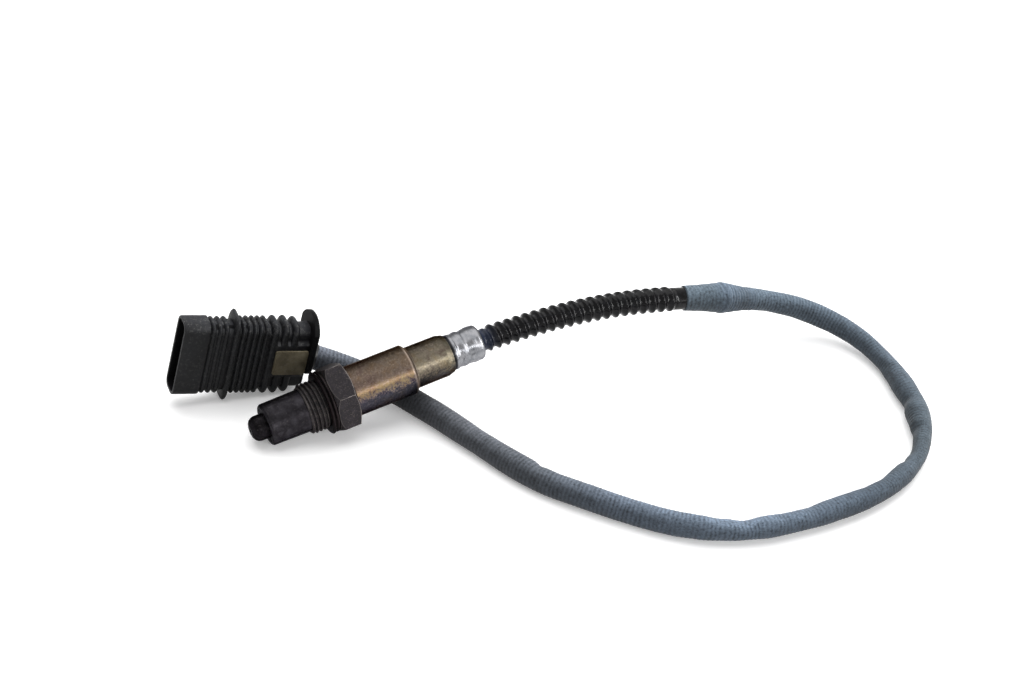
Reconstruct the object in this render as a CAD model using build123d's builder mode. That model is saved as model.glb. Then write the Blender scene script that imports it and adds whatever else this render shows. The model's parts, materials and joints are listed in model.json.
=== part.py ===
from build123d import *
import os
from math import asin, atan2, cos, degrees, hypot, pi, radians, sin, tan

os.makedirs("parts", exist_ok=True)

# Wideband oxygen sensor, millimetres. The origin is the centre of the gasket seat on the
# thread's axis. The probe points toward -X and the boot toward +X, and the whole
# sensor lies on a flat surface: the probe on its front rim and on one hex corner.

# Stations along the probe, measured from the seat
nose_tip = -28.9
tube_front = -23.5
boss_front = -13.0
thread_front = -9.2
thread_back = -3.3
hex_height = 8.0
collar_end = 13.5
sleeve_step = 31.0
sleeve_end = 46.2
crimp_start = 42.0
crimp_end = 58.9

# Probe diameters and walls
nose_d = 9.0
tube_d = 15.0
tube_wall = 0.5
tube_rim = 1.0
thread_d = 18.0
relief_d = 16.4
hex_across = 22.0
hex_turn = 24.2
gasket_d = 22.8
gasket_height = 2.6
sleeve_d = 18.1
sleeve_small_d = 15.2
sleeve_wall = 0.6
crimp_d = 13.0
crimp_wall = 0.45
fit = 0.05

# Ceramic stack and contacts inside the probe
bore_d = 10.4
element_width = 4.2
element_thick = 1.4
element_front = -25.0
element_end = 31.0
holder_d = 12.6
holder_front = 17.0
wire_count = 5
wire_d = 1.6
wire_ring = 1.75
lead_gap = 0.251524
barrel_d = 1.9

# Corrugated boot
boot_root_d = 7.6
boot_crest_d = 9.4
lead_room = 0.15
boot_bore_d = 2 * (wire_ring + wire_d / 2 + lead_room)
boot_collar_d = 8.6
boot_pitch = 3.8
boot_folds = 21
boot_first_fold = 6.6
boot_end_x = 144.6

# Sleeved cord and its cuff
cord_d = 8.6
cuff_d = 9.6
cuff_bulge_d = 11.8
cuff_end_d = 9.0

# Connector, measured from its mouth
conn_width = 29.9
conn_thick = 9.4
conn_corner = 3.2
conn_wall = 1.2
conn_length = 46.3
mouth_depth = 13.0
pin_reach = 5.0
fine_rib = 1.3
fine_pitch_front = 2.35
fine_pitch_rear = 2.1
coarse_rib = 2.1
coarse_pitch = 3.78
collar_at = 18.9
collar_rise = 2.65
collar_width = 1.6
rib_rise = 0.0
coarse_first = 33.2
terminal_pitch = 4.2
flange_thick = 2.0

# ------------------------------------------------------------------ how the probe lies
# The front rim and the lowest hex corner both touch the surface.
hex_corner = hex_across / 2 / cos(radians(30))
hex_low = hex_corner * cos(radians((hex_turn % 60) - 30))
hex_touch = 1.4
lever = hex_touch - tube_front - tube_rim
drop = hex_low - (tube_d / 2 - tube_rim)
tilt = degrees(atan2(drop, lever) - asin(tube_rim / hypot(drop, lever)))
floor_z = hex_touch * sin(radians(tilt)) - hex_low * cos(radians(tilt))

axis_dir = Vector(cos(radians(tilt)), 0, sin(radians(tilt)))
probe_axis = Axis((0, 0, 0), axis_dir)
side = Plane(origin=(0, 0, 0), x_dir=axis_dir, z_dir=(0, -1, 0))


def station(distance):
    return Plane(origin=axis_dir * distance, x_dir=(0, 1, 0), z_dir=axis_dir)


# ------------------------------------------------------------------ outer protection tube
rim_at = tube_front + tube_rim
tube_r = tube_d / 2
with BuildPart() as outer_tube:
    with BuildSketch(side):
        with BuildLine():
            CenterArc((rim_at, tube_r - tube_rim), tube_rim, 90, 90)
            Polyline(
                (tube_front, tube_r - tube_rim),
                (tube_front, nose_d / 2 + 0.15),
                (tube_front + tube_wall, nose_d / 2 + 0.15),
                (tube_front + tube_wall, tube_r - tube_rim),
            )
            CenterArc((rim_at, tube_r - tube_rim), tube_rim - tube_wall, 90, 90)
            Polyline(
                (rim_at, tube_r - tube_wall),
                (thread_front, tube_r - tube_wall + 0.2),
                (thread_front, tube_r + 0.2),
                (rim_at, tube_r),
            )
        make_face()
    revolve(axis=probe_axis)
    # gas inlets through the end wall, round the nose
    with BuildSketch(station(tube_front - 0.5)):
        with PolarLocations((tube_r - tube_rim + nose_d / 2 + 0.15) / 2, 8):
            Circle(0.55)
    extrude(amount=1.2, mode=Mode.SUBTRACT)
outer_tube.part.label = "outer_tube"
export_step(outer_tube.part, "parts/outer_tube.step")

# ------------------------------------------------------------------ inner protection tube
nose_r = nose_d / 2
dome = 2.8
inner_wall = 0.4
cup_r = tube_r - tube_wall - 1.35
with BuildPart() as inner_tube:
    with BuildSketch(side):
        with BuildLine():
            Line((nose_tip, 0.6), (nose_tip, nose_r - dome))
            CenterArc((nose_tip + dome, nose_r - dome), dome, 90, 90)
            Polyline(
                (nose_tip + dome, nose_r),
                (boss_front - 2.6, nose_r),
                (boss_front - 1.4, cup_r),
                (boss_front + 2.6, cup_r),
                (boss_front + 2.6, cup_r - inner_wall),
                (boss_front - 1.2, cup_r - inner_wall),
                (boss_front - 2.4, nose_r - inner_wall),
                (nose_tip + dome, nose_r - inner_wall),
            )
            CenterArc((nose_tip + dome, nose_r - dome), dome - inner_wall, 90, 90)
            Polyline(
                (nose_tip + inner_wall, nose_r - dome),
                (nose_tip + inner_wall, 0.6),
                (nose_tip, 0.6),
            )
        make_face()
    revolve(axis=probe_axis)
inner_tube.part.label = "inner_tube"
export_step(inner_tube.part, "parts/inner_tube.step")

# ------------------------------------------------------------------ planar sensing element
with BuildPart() as sensing_element:
    with BuildSketch(station(element_front)):
        Rectangle(element_width, element_thick)
    extrude(amount=element_end - element_front)
    chamfer(sensing_element.edges().filter_by(Axis.Y).group_by(SortBy.DISTANCE)[0], 0.3)
sensing_element.part.label = "sensing_element"
export_step(sensing_element.part, "parts/sensing_element.step")

# ------------------------------------------------------------------ hex shell with thread
with BuildPart() as sensor_shell:
    with BuildSketch(station(0)):
        RegularPolygon(hex_across / 2, 6, major_radius=False, rotation=hex_turn)
    extrude(amount=hex_height)
    with BuildSketch(side):
        with BuildLine():
            Polyline(
                (0, 0),
                (0, hex_across / 2 + 0.1),
                (hex_touch, hex_corner + 0.02),
                (hex_height - 1.0, hex_corner + 0.02),
                (hex_height, hex_across / 2 - 0.2),
                (hex_height, 0),
                close=True,
            )
        make_face()
    revolve(axis=probe_axis, mode=Mode.INTERSECT)
    with BuildSketch(side):
        with BuildLine():
            Polyline(
                (boss_front, 0),
                (boss_front, tube_r - tube_wall - fit),
                (thread_front, tube_r - tube_wall - fit),
                (thread_front, thread_d / 2 - 0.8),
                (thread_front + 0.7, thread_d / 2),
                (thread_back, thread_d / 2),
                (thread_back + 0.5, relief_d / 2),
                (0.5, relief_d / 2),
                (hex_height - 0.5, sleeve_d / 2 - sleeve_wall - fit),
                (collar_end - 0.5, sleeve_d / 2 - sleeve_wall - fit),
                (collar_end, sleeve_d / 2 - sleeve_wall - fit - 0.5),
                (collar_end, 0),
                close=True,
            )
        make_face()
    revolve(axis=probe_axis)
    # stepped bore: seat for the inner tube, clear hole, ceramic stack
    with BuildSketch(station(boss_front)):
        Circle(cup_r + fit)
    extrude(amount=2.7, mode=Mode.SUBTRACT)
    with BuildSketch(station(boss_front)):
        Circle(3.2)
    extrude(amount=collar_end - boss_front, mode=Mode.SUBTRACT)
    with BuildSketch(station(thread_front + 1.2)):
        Circle(bore_d / 2)
    extrude(amount=collar_end - thread_front - 1.2, mode=Mode.SUBTRACT)
sensor_shell.part.label = "sensor_shell"
export_step(sensor_shell.part, "parts/sensor_shell.step")

# ------------------------------------------------------------------ ceramic stack and powder
stack_front = thread_front + 1.2
stack_r = bore_d / 2 - fit
slot = (element_width + 2 * fit, element_thick + 2 * fit)

with BuildPart() as lower_bush:
    with BuildSketch(station(stack_front)):
        Circle(stack_r)
        Rectangle(*slot, mode=Mode.SUBTRACT)
    extrude(amount=7.0)
lower_bush.part.label = "lower_bush"
export_step(lower_bush.part, "parts/lower_bush.step")

with BuildPart() as powder_seal:
    with BuildSketch(station(stack_front + 7.0)):
        Circle(stack_r)
        Rectangle(*slot, mode=Mode.SUBTRACT)
    extrude(amount=5.0)
powder_seal.part.label = "powder_seal"
export_step(powder_seal.part, "parts/powder_seal.step")

with BuildPart() as upper_bush:
    with BuildSketch(station(stack_front + 12.0)):
        Circle(stack_r)
        Rectangle(*slot, mode=Mode.SUBTRACT)
    extrude(amount=collar_end - 1.0 - stack_front - 12.0)
upper_bush.part.label = "upper_bush"
export_step(upper_bush.part, "parts/upper_bush.step")

with BuildPart() as lock_ring:
    with BuildSketch(station(collar_end - 1.0)):
        Circle(stack_r)
        Circle(3.0, mode=Mode.SUBTRACT)
    extrude(amount=0.9)
lock_ring.part.label = "lock_ring"
export_step(lock_ring.part, "parts/lock_ring.step")

# ------------------------------------------------------------------ captive gasket
gasket_r = gasket_d / 2
gasket_in = relief_d / 2 + 0.15
with BuildPart() as gasket:
    with BuildSketch(side):
        with BuildLine():
            Polyline(
                (-fit, gasket_in),
                (-fit, gasket_r - 0.9),
                (-0.35, gasket_r - 0.25),
                (-0.9, gasket_r - 0.3),
                (-1.3, gasket_r - 0.75),
                (-1.6, gasket_r - 0.3),
                (-1.95, gasket_r),
                (-gasket_height + 0.25, gasket_r - 0.35),
                (-gasket_height, gasket_r - 1.1),
                (-gasket_height, thread_d / 2 + 0.2),
                (-gasket_height + 0.4, gasket_in),
                close=True,
            )
        make_face()
    revolve(axis=probe_axis)
gasket.part.label = "gasket"
export_step(gasket.part, "parts/gasket.step")

# ------------------------------------------------------------------ protective sleeve
large_r = sleeve_d / 2
small_r = sleeve_small_d / 2
with BuildPart() as protective_sleeve:
    with BuildSketch(side):
        with BuildLine():
            Polyline(
                (hex_height, large_r - sleeve_wall),
                (hex_height, large_r),
                (sleeve_step - 0.5, large_r),
                (sleeve_step, large_r - 0.4),
                (sleeve_step + 0.5, small_r + 0.25),
                (sleeve_step + 1.1, small_r),
                (sleeve_end - 2.2, small_r - 0.05),
                (sleeve_end - 0.8, small_r - 0.45),
                (sleeve_end, small_r - 0.7),
                (sleeve_end, crimp_d / 2 + fit),
                (sleeve_end - 0.9, crimp_d / 2 + fit),
                (sleeve_end - 2.4, small_r - 0.05 - sleeve_wall),
                (sleeve_step + 0.6, small_r - sleeve_wall),
                (sleeve_step - 0.1, large_r - sleeve_wall - 0.9),
                (sleeve_step - 0.7, large_r - sleeve_wall),
                close=True,
            )
        make_face()
    revolve(axis=probe_axis)
protective_sleeve.part.label = "protective_sleeve"
export_step(protective_sleeve.part, "parts/protective_sleeve.step")

# ------------------------------------------------------------------ contacts and their holder
holder_length = element_end - holder_front
with BuildPart() as contact_holder:
    with BuildSketch(station(holder_front)):
        Circle(holder_d / 2)
        Rectangle(element_width + 0.8, element_thick + 1.0, mode=Mode.SUBTRACT)
        Rectangle(holder_d + 1, 0.1, mode=Mode.SUBTRACT)
    extrude(amount=holder_length)
contact_holder.part.label = "contact_holder"
export_step(contact_holder.part, "parts/contact_holder.step")

cage_r = holder_d / 2 + fit
leaf_r = large_r - sleeve_wall - fit
with BuildPart() as spring_cage:
    with BuildSketch(station(holder_front + 3.0)):
        Circle(cage_r + 0.4)
        Circle(cage_r, mode=Mode.SUBTRACT)
        with Locations((0, -cage_r)):
            Rectangle(1.6, 3.0, mode=Mode.SUBTRACT)
        # leaves that bear on the sleeve
        with PolarLocations((cage_r + 0.2 + leaf_r) / 2, 6, start_angle=0):
            Rectangle(leaf_r - cage_r - 0.2, 0.4)
    extrude(amount=7.0)
spring_cage.part.label = "spring_cage"
export_step(spring_cage.part, "parts/spring_cage.step")

wire_angles = [90 + k * 360 / wire_count for k in range(wire_count)]
wire_spots = [(wire_ring * cos(radians(a)), wire_ring * sin(radians(a))) for a in wire_angles]
strip_out = 0.3
with BuildPart() as contacts:
    with BuildSketch(station(holder_front + 2.0)):
        with Locations((0, element_thick / 2 + strip_out / 2)):
            with GridLocations(1.4, 1, 3, 1):
                Rectangle(0.7, strip_out)
        with Locations((0, -element_thick / 2 - strip_out / 2)):
            with GridLocations(2.0, 1, 2, 1):
                Rectangle(0.7, strip_out)
    extrude(amount=element_end + 1.2 - holder_front - 2.0)
    with BuildSketch(station(element_end + 0.5)):
        with Locations(*wire_spots):
            Circle(barrel_d / 2)
    extrude(amount=4.0)
contacts.part.label = "contacts"
export_step(contacts.part, "parts/contacts.step")

spacer_end = element_end + 6.0
with BuildPart() as rear_spacer:
    with BuildSketch(station(element_end + 1.3)):
        Circle(small_r - sleeve_wall - 0.2)
        with Locations(*wire_spots):
            Circle(barrel_d / 2 + fit, mode=Mode.SUBTRACT)
    extrude(amount=spacer_end - element_end - 1.3)
rear_spacer.part.label = "rear_spacer"
export_step(rear_spacer.part, "parts/rear_spacer.step")

# ------------------------------------------------------------------ rubber grommet
boot_start = crimp_end - 2.9
with BuildPart() as grommet:
    with BuildSketch(station(spacer_end)):
        Circle(small_r - sleeve_wall - 0.2)
    extrude(amount=crimp_start - spacer_end - 0.1)
    with BuildSketch(station(crimp_start - 0.1)):
        Circle(crimp_d / 2 - crimp_wall - 0.45)
    extrude(amount=boot_start - crimp_start)
    with BuildSketch(station(spacer_end - 1)):
        with Locations(*wire_spots):
            Circle(wire_d / 2 + 0.02)
    extrude(amount=boot_start - spacer_end + 2, mode=Mode.SUBTRACT)
grommet.part.label = "grommet"
export_step(grommet.part, "parts/grommet.step")

# ------------------------------------------------------------------ crimp sleeve, two crimps
crimp_r = crimp_d / 2
with BuildPart() as crimp_sleeve:
    with BuildSketch(side):
        with BuildLine():
            Polyline(
                (crimp_start, crimp_r),
                (sleeve_end + 1.6, crimp_r),
                (sleeve_end + 2.3, crimp_r - 0.35),
                (sleeve_end + 3.1, crimp_r - 0.35),
                (sleeve_end + 3.9, crimp_r),
                (sleeve_end + 5.6, crimp_r),
                (sleeve_end + 6.4, crimp_r - 0.3),
                (sleeve_end + 7.2, crimp_r - 0.3),
                (sleeve_end + 8.2, crimp_r + 0.02),
                (crimp_end - 3.0, crimp_r),
            )
            RadiusArc((crimp_end - 3.0, crimp_r), (crimp_end - 0.5, crimp_r - 1.65), 3.1)
            Polyline(
                (crimp_end - 0.5, crimp_r - 1.65),
                (crimp_end, crimp_r - 1.8),
                (crimp_end, boot_collar_d / 2 + fit),
                (crimp_end - 0.3, boot_collar_d / 2 + fit),
                (crimp_end - 2.7, crimp_r - crimp_wall - 0.35),
                (sleeve_end + 8.0, crimp_r - crimp_wall),
                (sleeve_end + 7.2, crimp_r - crimp_wall - 0.3),
                (sleeve_end + 6.4, crimp_r - crimp_wall - 0.3),
                (sleeve_end + 5.6, crimp_r - crimp_wall),
                (sleeve_end + 3.9, crimp_r - crimp_wall),
                (sleeve_end + 3.1, crimp_r - crimp_wall - 0.35),
                (sleeve_end + 2.3, crimp_r - crimp_wall - 0.35),
                (sleeve_end + 1.6, crimp_r - crimp_wall),
                (crimp_start, crimp_r - crimp_wall),
                (crimp_start, crimp_r),
            )
        make_face()
    revolve(axis=probe_axis)
crimp_sleeve.part.label = "crimp_sleeve"
export_step(crimp_sleeve.part, "parts/crimp_sleeve.step")

# ------------------------------------------------------------------ corrugated boot
# The boot leaves the probe along its axis, rises, and droops under the cord's weight.
boot_bend = axis_dir * (crimp_end + 4.3)
boot_points = [
    (axis_dir.X * boot_start, axis_dir.Z * boot_start),
    (boot_bend.X, boot_bend.Z),
    (93.0, 16.6),
    (124.5, 15.6),
    (boot_end_x, 12.1),
]


def corner_radii(points):
    radii = []
    for before, here, after in zip(points, points[1:], points[2:]):
        run_in = Vector(*here) - Vector(*before)
        run_out = Vector(*after) - Vector(*here)
        turn = run_in.get_angle(run_out)
        radii.append(0.45 * min(run_in.length, run_out.length) / tan(radians(turn / 2)))
    return radii


boot_radii = corner_radii(boot_points)
print("boot radii", [round(r, 1) for r in boot_radii])

with BuildPart() as corrugated_boot:
    with BuildLine(Plane.XZ) as boot_line:
        FilletPolyline(*boot_points, radius=boot_radii)
    boot_path = boot_line.wires()[0]
    boot_length = boot_path.length
    with BuildSketch(Plane(origin=boot_path @ 0, z_dir=boot_path % 0)):
        Circle(boot_root_d / 2)
        Circle(boot_bore_d / 2, mode=Mode.SUBTRACT)
    sweep()
    # plain collar inside the crimp sleeve's mouth
    with BuildSketch(station(boot_start)):
        Circle(boot_collar_d / 2)
        Circle(boot_bore_d / 2, mode=Mode.SUBTRACT)
    extrude(amount=crimp_end + 0.8 - boot_start)
    # rounded folds, each turned about the boot's own line where it stands
    for fold in range(boot_folds):
        along = (boot_first_fold + fold * boot_pitch) / boot_length
        spot = boot_path @ along
        heading = boot_path % along
        with BuildSketch(Plane(origin=spot, x_dir=heading, z_dir=(0, -1, 0))):
            with BuildLine():
                Polyline(
                    (1.3, boot_root_d / 2 - 0.4),
                    (0.75, boot_crest_d / 2 - 0.35),
                    (0.35, boot_crest_d / 2),
                    (-0.35, boot_crest_d / 2),
                    (-0.75, boot_crest_d / 2 - 0.35),
                    (-1.3, boot_root_d / 2 - 0.4),
                    close=True,
                )
            make_face()
        revolve(axis=Axis(spot, heading))
corrugated_boot.part.label = "corrugated_boot"
export_step(corrugated_boot.part, "parts/corrugated_boot.step")
boot_end = boot_path @ 1
boot_heading = boot_path % 1

# ------------------------------------------------------------------ five leads
lead_start = axis_dir * (element_end + 4.6)
lead_points = [(lead_start.X, lead_start.Z)] + boot_points[1:]
with BuildPart() as lead_wires:
    with BuildLine(Plane.XZ) as lead_line:
        FilletPolyline(*lead_points, radius=boot_radii)
    with BuildSketch(station(element_end + 4.6)):
        with Locations(*wire_spots):
            Circle(wire_d / 2)
    sweep(path=lead_line.wires()[0])
lead_wires.part.label = "lead_wires"
export_step(lead_wires.part, "parts/lead_wires.step")

# ------------------------------------------------------------------ connector's own frame
# It lies on the rim of its collar and on its coarse ribs, on its narrow side.
collar_half = conn_width / 2 + collar_rise
rib_half = conn_width / 2 + rib_rise
coarse_mid = coarse_first + coarse_pitch
touch_front = collar_at + collar_width * 0.22
touch_rear = coarse_mid + coarse_rib * 0.28
lean = degrees(atan2(collar_half - rib_half, touch_rear - touch_front))
turn = -6.1
mouth_up = collar_half * cos(radians(lean)) + touch_front * sin(radians(lean)) + fit
conn_axis = Vector(
    cos(radians(lean)) * cos(radians(turn)),
    cos(radians(lean)) * sin(radians(turn)),
    -sin(radians(lean)),
)
conn_near = Vector(sin(radians(turn)), -cos(radians(turn)), 0)
conn_up = conn_near.cross(conn_axis)
conn = Plane(origin=(-43.9, 31.4, floor_z + mouth_up), x_dir=conn_up, z_dir=conn_axis)


def rounded(width, thick, corner):
    return RectangleRounded(width, thick, min(corner, thick / 2 - 0.1))


core_width = conn_width - 2.2
core_thick = conn_thick - 1.4
neck_width = conn_width - 4.3
neck_thick = conn_thick - 1.8
plain_end = 9.4
front_ribs = [10.7 + k * fine_pitch_front for k in range(3)]
rear_ribs = [collar_at + 2.5 + k * fine_pitch_rear for k in range(5)]
coarse_ribs = [coarse_first + k * coarse_pitch for k in range(3)]
coarse_from = (rear_ribs[-1] + coarse_ribs[0]) / 2 - 0.3
rib_thick = conn_thick + 0.8
rib_corner = conn_corner + 0.4
bands = [(at, fine_rib, conn_width - 0.7, conn_thick, conn_corner) for at in front_ribs]
bands += [(at, fine_rib, 2 * rib_half - 0.3, rib_thick, rib_corner) for at in rear_ribs]
bands += [(at, coarse_rib, 2 * rib_half, rib_thick, rib_corner) for at in coarse_ribs[:2]]
bands += [(coarse_ribs[2], coarse_rib, 2 * rib_half - 1.0, rib_thick, rib_corner)]
bands += [(collar_at, collar_width, 2 * collar_half, conn_thick + 1.6, conn_corner + 1.0)]
cavity = (conn_width - 2 * conn_wall, conn_thick - 2 * conn_wall)
chamber = (terminal_pitch * (wire_count - 1) + 4.0, 5.4)
block_end = mouth_depth + 11.0

with BuildPart() as connector_housing:
    with BuildSketch(conn):
        rounded(conn_width, conn_thick, conn_corner)
    extrude(amount=plain_end)
    with BuildSketch(conn.offset(plain_end)):
        rounded(core_width, core_thick, conn_corner)
    extrude(amount=coarse_from - plain_end)
    with BuildSketch(conn.offset(coarse_from)):
        rounded(neck_width, neck_thick, conn_corner)
    extrude(amount=conn_length - coarse_from)
    # every rib and the collar has softened rims
    for at, width, wide, thick, corner in bands:
        soft = min(width * 0.28, 0.45)
        with BuildSketch(conn.offset(at - width / 2)):
            rounded(wide - 2 * soft, thick - 2 * soft, corner - soft)
        with BuildSketch(conn.offset(at - width / 2 + soft)):
            rounded(wide, thick, corner)
        with BuildSketch(conn.offset(at + width / 2 - soft)):
            rounded(wide, thick, corner)
        with BuildSketch(conn.offset(at + width / 2)):
            rounded(wide - 2 * soft, thick - 2 * soft, corner - soft)
        loft(ruled=True)
    # mouth, terminal chamber and rear opening
    with BuildSketch(conn):
        rounded(*cavity, conn_corner - conn_wall)
    extrude(amount=block_end, mode=Mode.SUBTRACT)
    with BuildSketch(conn.offset(block_end)):
        rounded(*chamber, 1.2)
    extrude(amount=conn_length - block_end, mode=Mode.SUBTRACT)
connector_housing.part.label = "connector_housing"
export_step(connector_housing.part, "parts/connector_housing.step")

# ------------------------------------------------------------------ terminal block and blades
spread = [(k - (wire_count - 1) / 2) * terminal_pitch for k in range(wire_count)]
with BuildPart() as terminal_block:
    with BuildSketch(conn.offset(mouth_depth)):
        rounded(cavity[0] - 2 * fit, cavity[1] - 2 * fit, conn_corner - conn_wall)
        with Locations(*[(x, 0) for x in spread]):
            Rectangle(1.6, 0.9, mode=Mode.SUBTRACT)
    extrude(amount=block_end - mouth_depth)
terminal_block.part.label = "terminal_block"
export_step(terminal_block.part, "parts/terminal_block.step")

with BuildPart() as terminals:
    with BuildSketch(conn.offset(mouth_depth - pin_reach)):
        with Locations(*[(x, 0) for x in spread]):
            Rectangle(1.5, 0.8)
    extrude(amount=pin_reach + block_end - mouth_depth)
    chamfer(terminals.faces().sort_by(Axis(conn.origin, conn_axis))[:wire_count].edges(), 0.25)
    with BuildSketch(conn.offset(block_end)):
        with Locations(*[(x, 0) for x in spread]):
            Circle(barrel_d / 2)
    extrude(amount=3.0)
terminals.part.label = "terminals"
export_step(terminals.part, "parts/terminals.step")

# secondary lock: a frame that drops in front of the block, round the blades
with BuildPart() as lock_frame:
    with BuildSketch(conn.offset(mouth_depth - 1.4)):
        rounded(cavity[0] - 0.6, cavity[1] - 0.6, conn_corner - conn_wall)
        Rectangle(terminal_pitch * (wire_count - 1) + 3.0, 2.6, mode=Mode.SUBTRACT)
    extrude(amount=1.4 - fit)
lock_frame.part.label = "lock_frame"
export_step(lock_frame.part, "parts/lock_frame.step")

seal_from = block_end + 4.0
with BuildPart() as wire_seal:
    with BuildSketch(conn.offset(seal_from)):
        rounded(chamber[0] - 2 * fit, chamber[1] - 2 * fit, 1.2)
        with Locations(*[(x, 0) for x in spread]):
            Circle(wire_d / 2 + 0.02, mode=Mode.SUBTRACT)
    extrude(amount=6.0)
wire_seal.part.label = "wire_seal"
export_step(wire_seal.part, "parts/wire_seal.step")

# ------------------------------------------------------------------ rear flange and cord stub
# The flange stands proud of the upper part of the rear only.
flange_low = -4.6
flange_high = 17.3
flange_half = 7.6
stub_at = (-1.2, 0.0)
with BuildPart() as rear_flange:
    with BuildSketch(conn.offset(conn_length)):
        with BuildLine():
            Line((flange_low, -flange_half + 2.4), (flange_low, flange_half - 2.4))
            RadiusArc((flange_low, flange_half - 2.4), (flange_low + 2.4, flange_half), 2.4)
            Line((flange_low + 2.4, flange_half), (flange_high - 5.0, flange_half))
            ThreePointArc(
                (flange_high - 5.0, flange_half),
                (flange_high, 0),
                (flange_high - 5.0, -flange_half),
            )
            Line((flange_high - 5.0, -flange_half), (flange_low + 2.4, -flange_half))
            RadiusArc((flange_low + 2.4, -flange_half), (flange_low, -flange_half + 2.4), 2.4)
        make_face()
    extrude(amount=flange_thick)
    # closing plate for the rest of the chamber's rear
    with BuildSketch(conn.offset(conn_length)):
        rounded(neck_width - 1.0, neck_thick - 0.6, conn_corner)
    extrude(amount=0.9)
    chamfer(rear_flange.faces().sort_by(Axis(conn.origin, conn_axis))[-1].edges(), 0.5)
    with BuildSketch(conn.offset(conn_length)):
        with Locations(stub_at):
            Circle(3.4)
    extrude(amount=flange_thick, mode=Mode.SUBTRACT)
rear_flange.part.label = "rear_flange"
export_step(rear_flange.part, "parts/rear_flange.step")

# the stub bends the cord down and aside as it leaves the flange
stub_base = conn.offset(conn_length + flange_thick)
stub_origin = stub_base.from_local_coords(Vector(*stub_at, 0))
cord_turn = -29.0
cord_pitch = -12.0
cord_out = Vector(
    cos(radians(cord_pitch)) * cos(radians(cord_turn)),
    cos(radians(cord_pitch)) * sin(radians(cord_turn)),
    sin(radians(cord_pitch)),
)
stub_length = 3.4
stub_end = stub_origin + (conn_axis + cord_out).normalized() * stub_length
with BuildPart() as cord_stub:
    with BuildSketch(Plane(origin=stub_origin, x_dir=conn_up, z_dir=conn_axis)):
        Circle(cord_d / 2 + 0.9)
    with BuildSketch(Plane(origin=stub_end, x_dir=conn_up, z_dir=cord_out)):
        Circle(cord_d / 2 + 0.35)
    loft()
    # spigot through the flange
    with BuildSketch(Plane(origin=stub_origin, x_dir=conn_up, z_dir=-conn_axis)):
        Circle(3.4 - fit)
    extrude(amount=flange_thick)
cord_stub.part.label = "cord_stub"
export_step(cord_stub.part, "parts/cord_stub.step")

# leads inside the connector, from the blades' barrels through the seal to the stub
# the ring of leads is pressed together sideways until neighbours are a small gap apart
bunch = (wire_d + lead_gap) / (2 * wire_ring * sin(pi / wire_count))
with BuildPart() as connector_leads:
    for x, spot in zip(spread, sorted(wire_spots)):
        start = conn.offset(block_end + 3.0).from_local_coords(Vector(x, 0, 0))
        knee = conn.offset(seal_from + 7.5).from_local_coords(Vector(x, 0, 0))
        goal_x = stub_at[0] + spot[0] * 1.15
        goal = conn.offset(conn_length - 0.8).from_local_coords(Vector(goal_x, spot[1] * bunch, 0))
        with BuildLine() as lead_run:
            FilletPolyline(start, knee, goal, radius=2.5)
        with BuildSketch(Plane(origin=start, x_dir=conn_up, z_dir=conn_axis)):
            Circle(wire_d / 2)
        sweep(path=lead_run.wires()[0])
connector_leads.part.label = "connector_leads"
export_step(connector_leads.part, "parts/connector_leads.step")

# ------------------------------------------------------------------ blank plate on the wide face
plate_face = conn_thick / 2 + 0.4
with BuildPart() as blank_plate:
    with BuildSketch(Plane(
        origin=conn.from_local_coords(Vector(-0.1, plate_face + fit, 40.2)),
        x_dir=conn_axis,
        z_dir=conn_near,
    )):
        RectangleRounded(12.0, 9.8, 0.6)
    extrude(amount=0.7)
blank_plate.part.label = "blank_plate"
export_step(blank_plate.part, "parts/blank_plate.step")

# ------------------------------------------------------------------ cord route
rest = floor_z + cord_d / 2 + 0.05
cuff_end = Vector(174.1, 0.0, floor_z + 17.5)
route = [
    tuple(cuff_end),
    (188.6, -0.9, floor_z + 13.6),
    (201.8, -6.6, floor_z + 9.2),
    (211.0, -17.4, floor_z + 6.2),
    (214.4, -31.6, rest + 0.3),
    (212.6, -50.0, rest),
    (207.2, -71.5, rest),
    (191.5, -90.5, rest),
    (169.0, -101.8, rest),
    (139.0, -105.6, rest),
    (107.0, -103.6, rest),
    (86.5, -91.8, rest),
    (59.5, -62.2, rest),
    (50.0, -44.8, rest),
    (39.5, -15.8, rest),
    (32.0, 1.0, rest + 0.5),
    (25.5, 10.5, rest + 2.0),
    tuple(stub_end + cord_out * 11.0),
    tuple(stub_end),
]
route_radii = corner_radii(route)
print("cord radii", [round(r, 1) for r in route_radii])
cord_in = (Vector(*route[1]) - Vector(*route[0])).normalized()

with BuildPart() as cord_tube:
    with BuildLine() as cord_line:
        FilletPolyline(*route, radius=route_radii)
    with BuildSketch(Plane(origin=cuff_end, z_dir=cord_in)):
        Circle(cord_d / 2)
    sweep(path=cord_line.wires()[0])
cord_tube.part.label = "cord_tube"
cord_length = cord_line.wires()[0].length
section = pi * (cord_d / 2) ** 2
print("cord length", round(cord_length, 1), "volume ratio", cord_tube.part.volume / (section * cord_length))
export_step(cord_tube.part, "parts/cord_tube.step")

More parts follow.
